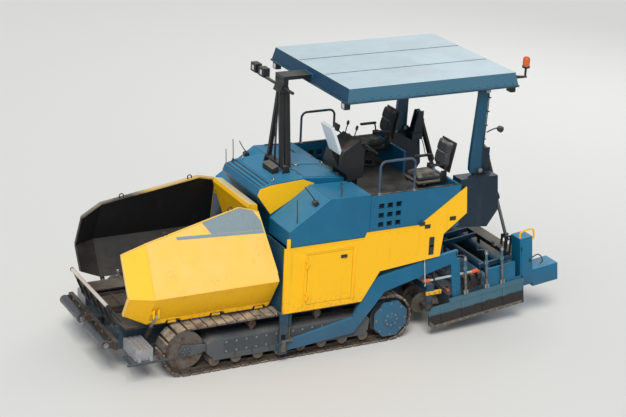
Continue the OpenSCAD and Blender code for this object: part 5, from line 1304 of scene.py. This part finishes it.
def canopyTrim():
    # two standing seams on top, a rolled lip round the foot, sockets under the corners and rivets
    x0, x1, half, low, top = (roof[key] for key in ("x0", "x1", "y", "low", "top"))
    seam = [(x0 + 0.06, top - 0.003), (x1 - 0.06, top - 0.003), (x1 - 0.066, top + 0.007), (x0 + 0.066, top + 0.007)]
    seams = joined(*[slab(seam, y - 0.012, y + 0.012, 0.004) for y in roof["seams"]])
    rim = np.array([(x0, -half), (x1, -half), (x1, half), (x0, half)]) * 0.998
    lip = joined(*[tube([(*a, low + 0.016), (*b, low + 0.016)], 0.014, 10) for a, b in zip(rim, np.roll(rim, -1, 0))])
    corner = joined(*[moved(turned([(0.032, 0), (0.032, 0.04), (0.026, 0.05)], count=20), (x, y, low - 0.004))
                      for x in (x0 + 0.04, x1 - 0.04) for y in (-half + 0.04, half - 0.04)])
    rivets = joined(boltHeads([(x, half - 0.012, low + 0.055) for x in np.linspace(x0 + 0.1, x1 - 0.1, 19)],
                              scale=0.4),
                    moved(boltHeads([(x, 0, 0) for x in np.linspace(-1.05, 1.05, 15)], scale=0.4),
                          (x1 - 0.012, 0, low + 0.055), turnAbout("Z", -90)))
    return seams, joined(lip, corner), rivets


seams, lip, rivets = canopyTrim()
piece("canopyTrim", [("roofPaint", seams), ("darkTealPaint", lip), ("darkTealPaint", rivets)], bodyOf("canopy_roof"))

lampFace = {"side": 0.040, "glass": 0.9, "depth": 0.006, "ring": 0.008}


def lampFront():
    # a square reflector with a rounded glass that bulges by b (1 - x^4)(1 - y^4), in a raised ring; it faces local x
    h, share = lampFace["side"], lampFace["glass"]
    a, b = np.meshgrid(np.linspace(-1, 1, 13), np.linspace(-1, 1, 13), indexing="ij")
    bulge = lampFace["depth"] * (1 - a ** 4) * (1 - b ** 4)
    front = np.stack([bulge + 0.001, a * h * share, b * h * share], -1).reshape(-1, 3)
    i, j = np.meshgrid(np.arange(12), np.arange(12), indexing="ij")
    quads = np.stack([i * 13 + j, (i + 1) * 13 + j, (i + 1) * 13 + j + 1, i * 13 + j + 1], -1).reshape(-1, 4)
    back = front * [0, 1, 1] - [0.003, 0, 0]
    edge = np.concatenate([np.arange(13), np.arange(25, 169, 13), np.arange(167, 155, -1), np.arange(143, 0, -13)])
    nxt = np.roll(edge, -1)
    wall = np.stack([edge, edge + 169, nxt + 169, nxt], -1)
    glass = (np.concatenate([front, back]), np.concatenate([quads, quads[:, ::-1] + 169, wall]),
             np.zeros((0, 3), int))
    ring = carried(roundedOutline(0.006, lampFace["ring"] / 2, 0.002, 2),
                   np.concatenate([np.zeros((28, 1)), roundedOutline(h, h, 0.01, 7)], 1), (1, 0, 0), around=True)
    return glass, ring


lampPlaces = [(0.17, 1.05, 3.545, 1), (0.17, -1.05, 3.545, 1), (-2.545, 1.05, 3.545, -1), (-2.545, -1.05, 3.545, -1),
              (0.632, -0.80, 3.628, 1), (0.632, -0.54, 3.628, 1)]


def lampsShape():
    # the four under the roof's corners look ahead and back, and the two on the front bar look ahead;
    # each has a pack of fins and a stirrup
    glass, ring = lampFront()
    lampGlass, lampRings, stirrups = [], [], []
    for x, y, z, way in lampPlaces:
        turn = turnAbout("Z", 0 if way > 0 else 180)
        lampGlass.append(moved(glass, (x, y, z), turn))
        lampRings.append(moved(ring, (x, y, z), turn))
        lampRings.append(joined(*[moved(block((0.004, 0.09, 0.07), 0.0015, 2, 2),
                                        (x - way * (0.062 + k * 0.011), y, z)) for k in range(3)]))
        stirrups.append(tube([(x - way * 0.035, y + a, z + b) for a, b in ((-0.062, 0.012), (-0.062, 0.052),
                                                                           (0.062, 0.052), (0.062, 0.012))],
                             0.005, 8, (1, 0, 0)))
    return lampGlass, lampRings, stirrups


lampGlass, lampRings, stirrups = lampsShape()
piece("cornerLamps", [("clearLens", joined(*lampGlass[:2])), ("redLens", joined(*lampGlass[2:4])),
                      ("blackPlastic", joined(*lampRings[:8], *stirrups[:4]))],
      bodyOf("work_lamps"))
piece("frontBarLamps", [("clearLens", joined(*lampGlass[4:])),
                        ("blackPlastic", joined(*lampRings[8:], *stirrups[4:]))],
      bodyOf("canopy_front_frame"))


beacon = {"x": -2.70, "y": 1.08, "radius": 0.0515, "shoulder": 3.945, "rise": 0.0545, "knurls": 30}


def beaconShape():
    # a bracket, a stem, a base with a knurled ring, and a dome: straight up to its shoulder, then near a quarter
    # ellipse, r = radius * cos(v)^0.8, z = shoulder + rise * sin(v)
    x, y, radius = beacon["x"], beacon["y"], beacon["radius"]
    bracket = slab([(-2.56, 3.692), (-2.53, 3.738), (-2.72, 3.712), (-2.72, 3.692)], y - 0.02, y + 0.02, 0.003)
    stem = turned([(0.016, 3.700), (0.016, 3.83), (0.024, 3.834)], (x, y, 0), count=20)
    base = turned([(0.036, 3.828), (0.050, 3.834), (0.054, 3.846), (0.054, 3.858), (0.051, 3.862)], (x, y, 0),
                  count=36)
    angles = np.linspace(0, 2 * np.pi, beacon["knurls"], endpoint=False)
    knurl = copies(block((0.006, 0.004, 0.016), 0.0012, 2, 2),
                   [(x + 0.0535 * math.cos(a), y + 0.0535 * math.sin(a), 3.850) for a in angles],
                   np.array([turnAbout("Z", math.degrees(a)) for a in angles]))
    cap = [(radius * math.cos(v) ** 0.8 + 1e-4, beacon["shoulder"] + beacon["rise"] * math.sin(v))
           for v in np.linspace(0, np.pi / 2, 12)]
    dome = turned([(0.050, 3.861), (radius, 3.93)] + cap, (x, y, 0), count=36)
    return joined(bracket, stem, base, knurl), dome


beaconBase, dome = beaconShape()
piece("beaconDome", [("blackPlastic", beaconBase), ("beaconOrange", dome)], bodyOf("beacon"),
      ("beacon",))


post = {"y": 1.05, "halfWidth": 0.048, "pins": ((-2.065, 2.39), (-2.095, 3.56)), "ribsY": (1.032, 1.068),
        "cable": ((-2.09, 1.083, 2.50), (-2.10, 1.086, 2.85), (-2.112, 1.086, 3.10), (-2.124, 1.086, 3.45),
                  (-2.115, 1.083, 3.545)),
        "arm": ((-2.14, 1.07, 2.94), (-2.20, 1.08, 2.97), (-2.29, 1.08, 2.99), (-2.35, 1.08, 2.985))}


def postFittings():
    # on the rear posts: pins with washers and keepers, and stiffening ribs; on the near one also a cable in clips
    # and a bent arm with a lamp
    pins = joined(*[turned([(0.034, -0.002), (0.034, 0.006), (0.020, 0.008), (0.018, 0.016)],
                           (x, post["y"] + s * post["halfWidth"], z), (0, s, 0), 20)
                    for x, z in post["pins"] for s in (1, -1)])
    rib = joined(*[tube([(-2.012, y, 2.66), (-2.062, y, 3.46)], 0.007, 6, (0, 1, 0)) for y in post["ribsY"]])
    clips = joined(*[moved(block((0.05, 0.022, 0.018), 0.005), (-2.10 - 0.012 * k, 1.082, 2.85 + k * 0.2))
                     for k in range(4)])
    cable = tube(curveThrough(post["cable"], 30), 0.007, 8, (1, 0, 0))
    arm = tube(curveThrough(post["arm"], 18), 0.010, 8, (0, 1, 0))
    lamp = moved(turned([(0.012, -0.05), (0.038, -0.03), (0.046, 0.0), (0.046, 0.03), (0.040, 0.034)],
                        axis=(-1, 0, -0.5), count=24), (-2.355, 1.08, 2.972))
    face = moved(turned([(0.039, 0.0), (0.036, 0.006), (0.012, 0.011)], axis=(-1, 0, -0.5), count=24),
                 (-2.355 - 0.030, 1.08, 2.957))
    return pins, rib, joined(clips, cable, arm, lamp), face


postPins, postRib, postBlack, lampFaceGlass = postFittings()
piece("postFittings", [("boltSteel", bothSides(postPins)), ("tealPaint", bothSides(postRib)),
                       ("blackPlastic", postBlack), ("clearLens", lampFaceGlass)],
      bodyOf("canopy_rear_posts"))

frontFrame = {"footX": 0.60, "footZ": 2.47, "lean": math.atan2(0.03, 1.17), "hoses": (0.056, 0.074)}


def frontFrameHoses():
    # two hoses that run up behind the front frame: curves in its plane, turned by its lean about its foot
    c, s = math.cos(frontFrame["lean"]), math.sin(frontFrame["lean"])
    hoses = []
    for x in frontFrame["hoses"]:
        p = curveThrough([(x, 0.06, 0.05), (x + 0.004, 0.055, 0.35), (x, 0.04, 0.75), (x, 0.03, 1.02)], 26)
        path = np.stack([frontFrame["footX"] + p[:, 0] * c - p[:, 2] * s, p[:, 1],
                         frontFrame["footZ"] + p[:, 0] * s + p[:, 2] * c], -1)
        hoses.append(tube(path, 0.008, 8, (0, 1, 0)))
    return joined(*hoses)


piece("frontFrameHoses", [("blackRubber", frontFrameHoses())], bodyOf("canopy_front_frame"))
print("canopy dressed")


# Rear: screed, its gates and steps, lift cylinders and hoses

screed = {"tow": (1.020, 0.0, 0.220), "angle": 6.5, "sole": -0.143, "baseTop": 0.42, "walkTop": 0.47, "gateY": 1.267,
          "spindles": (-1.913, -2.269, -2.533), "spindleY": 1.256, "lids": (-0.85, -0.45, 0.45, 0.85),
          "motors": (-0.30, 0.30), "burners": (-0.95, -0.55, 0.55, 0.95), "valves": (-1.93, -2.05, -2.17),
          "hoseR": 0.0105, "gateRibs": (-1.5, -1.85, -2.2, -2.55)}


def raisedUp(shape):
    # the screed is drawn in its work position and turned up about the tow point
    away = np.array(screed["tow"])
    return moved(moved(shape, -away), away, turnAbout("Y", screed["angle"]))


spindle = {"radius": 0.0205, "groove": 0.0016, "threadLow": 0.30, "threadHigh": 0.60, "grooves": 61}


def spindleTops():
    # on each spindle a thread (a ring of grooves), a nut block, a collar, and a crank with a grip
    grooves = np.linspace(spindle["threadLow"], spindle["threadHigh"], spindle["grooves"])
    thread = turned([(spindle["radius"] + spindle["groove"] * (-1) ** k, z) for k, z in enumerate(grooves)], count=16)
    nut = joined(moved(block((0.075, 0.026, 0.075), 0.006), (0, 0.0, 0.285)),
                 moved(block((0.055, 0.036, 0.05), 0.006), (0, -0.008, 0.66)))
    collar = turned([(0.030, 0.79), (0.030, 0.815), (0.022, 0.822), (0.020, 0.845)], count=20)
    crank = joined(tube([(0, 0, 0.845), (0, 0, 0.862), (0.03, -0.01, 0.868), (0.115, -0.05, 0.868)], 0.009, 10,
                        (0.3, 1, 0)),
                   turned([(0.010, 0.862), (0.016, 0.872), (0.018, 0.90), (0.016, 0.935), (0.009, 0.942)],
                          (0.115, -0.05, 0), count=16))
    places = [(x, screed["spindleY"], 0) for x in screed["spindles"]]
    return copies(thread, places), copies(joined(nut, collar), places), copies(crank, places)


def gateTrim():
    # a worn shoe along the gate's foot, its turned-up nose, stiffening ribs and bolts
    y, low = screed["gateY"], screed["sole"]
    shoe = between((-2.86, y - 0.022, low + 0.002), (-1.36, y + 0.006, low + 0.05), 0.004)
    nose = slab([(-1.37, low + 0.002), (-1.345, low + 0.002), (-1.286, low + 0.061), (-1.286, low + 0.12),
                 (-1.31, low + 0.12), (-1.37, low + 0.05)], y - 0.022, y + 0.006, 0.003)
    ribs = joined(*[between((x - 0.02, y - 0.002, low + 0.05), (x + 0.02, y + 0.009, low + 0.32), 0.004)
                    for x in screed["gateRibs"]])
    bolts = boltHeads([(x, y + 0.006, low + 0.026) for x in np.linspace(-2.8, -1.42, 12)], scale=0.7)
    return ribs, joined(shoe, nose), bolts


cabinet = {"outY": 1.237, "rear": -3.07, "front": -2.86, "low": 0.105, "high": 0.857, "railR": 0.0145}


def cabinetTrim():
    # the outer box: a door with hinges and a latch, a panel behind, a lid, a grab rail on top, a hook and a socket
    y, x0, x1, low, high = (cabinet[key] for key in ("outY", "rear", "front", "low", "high"))
    door = between((x0 + 0.02, y - 0.003, low + 0.03), (x1 - 0.02, y + 0.006, high - 0.03), 0.006)
    rear = between((x0 - 0.006, y - 0.215, low + 0.34), (x0 + 0.003, y - 0.02, high - 0.03), 0.006)
    hinges = joined(*[turned([(0.009, -0.03), (0.009, 0.03)], (x1 - 0.022, y + 0.009, z), count=12)
                      for z in (low + 0.15, high - 0.15)])
    latch = moved(block((0.03, 0.012, 0.06), 0.004), (x0 + 0.045, y + 0.009, 0.5))
    lidTop = between((x0 - 0.004, y - 0.239, high - 0.004), (x1 + 0.004, y + 0.003, high + 0.008), 0.005)
    grab = [(x1 - 0.02, 0.0), (x1 - 0.03, 0.075), (x1 - 0.07, 0.105), (x0, 0.105), (x0 - 0.045, 0.075),
            (x0 - 0.05, -0.03), (x0 - 0.004, -0.07)]
    grabRail = tube(curveThrough([(x, y - 0.04, high + z) for x, z in grab], 40), cabinet["railR"], 10, (0, 1, 0))
    hook = tube(curveThrough([(x0 - 0.004, y - 0.01, 0.52), (x0 - 0.09, y - 0.005, 0.55), (x0 - 0.15, y, 0.50),
                              (x0 - 0.17, y, 0.42), (x0 - 0.13, y, 0.40)], 20), 0.009, 8, (0, 1, 0))
    socket = turned([(0.03, 0), (0.03, 0.035), (0.022, 0.04), (0.02, 0.02)], (x0 - 0.004, y - 0.11, 0.72), (-1, 0, 0),
                    20)
    return joined(door, rear, lidTop), joined(hinges, latch, hook, socket), grabRail


def treadOn(x0, x1, y0, y1, z):
    # lozenges over a plate, half a step in from its edges
    step = tread["pitch"]
    return lozenges(np.arange(x0 + step / 2, x1 - 0.01, step), np.arange(y0 + step / 2, y1 - 0.01, step), z)


def baseFittings():
    # on the base's top: lids over the burners with handles, vibrator motors with fins, a hose manifold and
    # a burner pipe with stubs
    top = screed["sole"] + screed["baseTop"]
    lids = joined(*[between((-2.20, y - 0.16, top - 0.002), (-1.98, y + 0.16, top + 0.012), 0.006)
                    for y in screed["lids"]])
    handles = joined(*[tube(curveThrough([(-2.05, y - 0.05, top + 0.01), (-2.05, y - 0.045, top + 0.045),
                                          (-2.05, y + 0.045, top + 0.045), (-2.05, y + 0.05, top + 0.01)], 16),
                            0.006, 8, (1, 0, 0)) for y in screed["lids"]])
    motors = joined(*[turned([(0.05, -0.11), (0.058, -0.10), (0.058, 0.06), (0.05, 0.07), (0.034, 0.075),
                              (0.034, 0.12)], (-1.84, y, top + 0.062), (0, 1, 0), 24) for y in screed["motors"]])
    fins = joined(*[turned([(0.064, y + k * 0.016 - 0.003), (0.064, y + k * 0.016 + 0.003)], (-1.84, 0, top + 0.062),
                           (0, 1, 0), 24) for y in (-0.36, 0.24) for k in range(6)])
    manifold = between((-1.90, -0.09, top - 0.002), (-1.79, 0.09, top + 0.085), 0.008)
    gas = joined(tube([(-1.70, -1.10, top + 0.03), (-1.70, 1.10, top + 0.03)], 0.014, 10),
                 *[tube([(-1.70, y, top + 0.03), (-1.76, y, top + 0.02), (-1.80, y, top - 0.005)], 0.010, 8,
                        (0, 1, 0)) for y in screed["burners"]])
    caps = joined(*[turned([(0.02, 0), (0.024, 0.008), (0.024, 0.05), (0.014, 0.058)], (-1.70, s * 1.08, top + 0.03),
                           (0, s, 0), 16) for s in (1, -1)])
    # a black kick plate that closes the gap under the walkway's front edge, and stands for the shade in that gap
    kickPlateShade = between((-2.828, -0.885, 0.06), (-2.820, 0.885, 0.300), 0.002)
    return lids, joined(handles, fins, kickPlateShade), joined(motors, manifold, gas), caps


levelBar = {"y": 1.196, "front": (-1.30, 0.60), "rear": (-2.12, 0.545), "radius": 0.017,
            "ends": ((-1.30, 0.60), (-2.10, 0.546)), "valvesZ": 0.46}


def sideBar():
    # under the tow arm: a pale levelling bar with orange ends, hung from the arm, and three valves on a plate
    # that stands on the base
    y = levelBar["y"]
    bar = tube([(x, y, z) for x, z in (levelBar["front"], levelBar["rear"])], levelBar["radius"], 12, (0, 1, 0))
    sleeve = [(0.024, -0.05), (0.026, -0.04), (0.026, 0.04), (0.024, 0.05)]
    ends = joined(*[turned(sleeve, (x, y, z), (1, 0, 0), 16) for x, z in levelBar["ends"]])
    brackets = joined(between((-1.435, y - 0.032, 0.568), (-1.405, y + 0.018, 0.744), 0.006),
                      between((-2.215, 1.162, 0.262), (-1.885, 1.178, 0.500), 0.003))
    valves = joined(*[moved(block((0.075, 0.07, 0.095), 0.012), (x, y, levelBar["valvesZ"]))
                      for x in screed["valves"]])
    knobs = joined(*[turned([(0.012, 0), (0.02, 0.006), (0.02, 0.026), (0.012, 0.03)], (x, 1.19, 0.508), (0, 0, 1),
                            14) for x in screed["valves"]])
    return bar, joined(ends, knobs), joined(brackets, valves)


def screedHoses():
    # hoses from the manifold: two up and over to the motors, and four along the base to the side valves,
    # each a curve through its clips
    top = screed["sole"] + screed["baseTop"]
    hoses = []
    for s in (1, -1):
        hoses.append([(-1.86, s * 0.05, top + 0.08), (-1.86, s * 0.08, top + 0.20), (-1.85, s * 0.20, top + 0.19),
                      (-1.84, s * 0.25, top + 0.12)])
        for k in (0, 1):
            x = -1.915 - 0.035 * k
            hoses.append([(-1.83 - 0.03 * k, s * 0.07, top + 0.07), (-1.84, s * 0.13, top + 0.15),
                          (x, s * 0.26, top + 0.05), (x + 0.01, s * 0.55, top + 0.022),
                          (x - 0.01, s * 0.85, top + 0.026), (x, s * 1.08, top + 0.05),
                          (x - 0.03, s * 1.15, top + 0.12), (x - 0.07 - 0.1 * k, s * 1.178, top + 0.20)])
    return joined(*[tube(curveThrough(points, 36), screed["hoseR"], 8, (0.2, 0, 1)) for points in hoses])


tailRod = {"y": 1.233, "top": (-1.16, 1.25), "low": (-1.205, 0.80), "clamps": ((-1.166, 1.19), (-1.20, 0.85))}


def panelRod():
    # a pale rod in clamps, from behind the panel's tail down towards the auger
    y = tailRod["y"]
    rod = tube([(x, y, z) for x, z in (tailRod["top"], tailRod["low"])], 0.0095, 10, (0, 1, 0))
    clamps = joined(*[moved(block((0.035, 0.016, 0.03), 0.004), (x, y, z)) for x, z in tailRod["clamps"]])
    return rod, clamps


rod, clamps = panelRod()
piece("panelRod", [("barPaint", bothSides(rod)), ("blackPlastic", bothSides(clamps))], bodyOf("side_panels"))
threads, nuts, cranks = spindleTops()
ribs, shoes, shoeBolts = gateTrim()
for side, flip in sides:
    piece("gateTrim_" + side, [("gatePaint", flip(raisedUp(ribs))),
                               ("wornSteel", flip(raisedUp(joined(threads, shoes)))),
                               ("boltSteel", flip(raisedUp(joined(nuts, shoeBolts)))),
                               ("blackPlastic", flip(raisedUp(cranks)))], bodyOf("end_gate_" + side))
doors, cabinetBlack, grabRail = cabinetTrim()
walkZ = screed["sole"] + screed["walkTop"]
steps = treadOn(-3.37, -3.08, 0.945, 1.23, walkZ)
for side, flip in sides:
    piece("cabinetTrim_" + side, [("tealPaint", flip(raisedUp(doors))),
                                  ("blackPlastic", flip(raisedUp(joined(cabinetBlack, steps)))),
                                  ("yellowPaint", flip(raisedUp(grabRail)))],
          bodyOf("screed_extension_" + side))
burnerLids, blackBits, greyBits, orangeCaps = baseFittings()
bar, barEnds, barBlocks = sideBar()
walk = treadOn(-3.26, -2.84, -0.89, 0.89, walkZ)
piece("screedFittings", [("darkTealPaint", raisedUp(burnerLids)),
                         ("blackPaint", raisedUp(joined(blackBits, bothSides(barBlocks), walk))),
                         ("engineIron", raisedUp(greyBits)),
                         ("orangePaint", raisedUp(joined(orangeCaps, bothSides(barEnds)))),
                         ("barPaint", raisedUp(bothSides(bar))), ("blackRubber", raisedUp(screedHoses()))],
      bodyOf("screed_base"))


lift = {"top": (-2.23, 0.92, 2.64), "low": (-2.74, 0.92, 1.21), "barrel": 0.55}


def liftTrim():
    # on the barrels: a head ring, a foot ring, two ports and a hard pipe from one to the other
    top, low = np.array(lift["top"]), np.array(lift["low"])
    length = float(np.linalg.norm(low - top))
    way, end = (low - top) / length, length * lift["barrel"]
    rings = joined(*[moved(turned([(0.042, a), (0.049, a + 0.006), (0.049, b - 0.006), (0.042, b)], axis=tuple(way),
                                  count=28), top) for a, b in ((0.10, 0.15), (end - 0.085, end - 0.004))])
    side = np.cross(way, (0, 1, 0))
    ports = [moved(turned([(0.016, 0), (0.016, 0.018), (0.010, 0.02), (0.010, 0.03)], axis=tuple(side), count=14),
                   top + way * a + side * 0.043) for a in (0.17, end - 0.11)]
    pipe = tube(curveThrough([top + way * a + side * b for a, b in ((0.17, 0.073), (0.24, 0.078), (0.5, 0.066),
                                                                    (end - 0.16, 0.074), (end - 0.11, 0.072))], 24),
                0.007, 8, (0, 1, 0))
    return joined(rings, *ports), pipe


liftRings, liftPipe = liftTrim()
piece("liftTrim", [("blackPaint", bothSides(liftRings)), ("boltSteel", bothSides(liftPipe))], bodyOf("lift_barrels"))


def augerPlates():
    # a guard plate at the auger's end with its bolts
    guard = between((-1.542, 1.1235, 0.6045), (-1.288, 1.1505, 0.6665), 0.005)
    bolts = boltHeads([(x, 1.150, 0.635) for x in (-1.50, -1.42, -1.33)], scale=0.7)
    return guard, bolts


guard, guardBolts = augerPlates()
piece("augerGuards", [("yellowPaint", bothSides(guard)), ("boltSteel", bothSides(guardBolts))], bodyOf("auger_frame"))
print("screed fitted")


# Main solids again with their sharp edges broken, as bent and welded plate has them

easedNodes = {
    "hood": 0.007, "hood_cheeks": 0.002, "shoulders": 0.007, "platform_body": 0.004, "rear_housings": 0.006,
    "side_panels": 0.002, "hopper_rear_wall": 0.005, "canopy_roof": 0.006, "canopy_frame": 0.004,
    "canopy_rear_posts": 0.005, "canopy_front_frame": 0.004, "canopy_feet": 0.003, "operator_console": 0.008,
    "tow_arms": 0.004, "screed_base": 0.003, "screed_walkway": 0.003, "screed_extension_left": 0.004,
    "screed_extension_right": 0.004, "end_gate_left": 0.003, "end_gate_right": 0.003, "chassis_frame": 0.003,
    "track_frames": 0.004, "auger_frame": 0.003, "push_beam": 0.004, "front_apron": 0.003, "hopper_floor": 0.003,
    "engine_block": 0.006, "work_lamps": 0.005, "side_door_left": 0.002, "side_door_right": 0.002}
for node, width in easedNodes.items():
    eased(node, nodeFinish[node], width)
print("edges eased:", len(easedNodes))


# Floor, light and camera

stage = {"reach": 120.0, "floor": tint(222, 221, 218), "sky": (0.86, 0.93, 1.0, 1), "skyStrength": 0.45,
         "aim": (0, 0, 1.5)}
lights = [("SUN", "key", (5, 9, 15), 2.1, math.radians(26), (1.0, 0.97, 0.92)),
          ("AREA", "fill", (14, 12, 9), 520, 10, (0.9, 0.95, 1.0)),
          ("AREA", "back", (-12, -9, 10), 420, 10, (0.95, 0.97, 1.0))]


def stageSet():
    # a floor, an even sky, and lights of a kind, name, place, power, size and colour that face the machine
    floor = bpy.data.meshes.new("floor")
    reach = stage["reach"]
    floor.from_pydata([(-reach, -reach, 0), (reach, -reach, 0), (reach, reach, 0), (-reach, reach, 0)], [],
                      [(0, 1, 2, 3)])
    f = Finish("floorFinish")
    floor.materials.append(f.surface(Base_Color=stage["floor"], Roughness=0.85))
    ground = bpy.data.objects.new("floor", floor)
    bpy.context.scene.collection.objects.link(ground)
    world = bpy.data.worlds.new("studio")
    world.use_nodes = True
    backdrop = world.node_tree.nodes["Background"]
    backdrop.inputs["Color"].default_value = stage["sky"]
    backdrop.inputs["Strength"].default_value = stage["skyStrength"]
    bpy.context.scene.world = world
    for kind, name, place, power, size, colour in lights:
        lamp = bpy.data.lights.new(name, kind)
        lamp.energy, lamp.color = power, colour
        if kind == "SUN":
            lamp.angle = size
        else:
            lamp.size = size
        lit = bpy.data.objects.new(name, lamp)
        lit.location = place
        lit.rotation_mode = "QUATERNION"
        lit.rotation_quaternion = (Vector(stage["aim"]) - Vector(place)).to_track_quat("-Z", "Y")
        bpy.context.scene.collection.objects.link(lit)


view = {"eye": (10.587, 19.948, 10.015), "aim": (0.02, 0.05, 1.72), "roll": 2.7, "sensor": 36.0, "focal": 97.0}


def cameraSet():
    # from where the photograph was taken, turned to the machine's middle, with a longer lens; the roll keeps the lean
    # that the machine has in the photograph's upper right part
    eye, roll = Vector(view["eye"]), math.radians(view["roll"])
    optics = bpy.data.cameras.new("camera")
    optics.sensor_width, optics.lens = view["sensor"], view["focal"]
    optics.clip_start, optics.clip_end = 0.5, 400
    camera = bpy.data.objects.new("camera", optics)
    camera.location = eye
    camera.rotation_mode = "QUATERNION"
    camera.rotation_quaternion = (Vector(view["aim"]) - eye).to_track_quat("-Z", "Y") @ Quaternion((0, 0, 1), roll)
    bpy.context.scene.collection.objects.link(camera)
    bpy.context.scene.camera = camera
    bpy.context.scene.view_settings.view_transform = "Standard"


stageSet()
cameraSet()
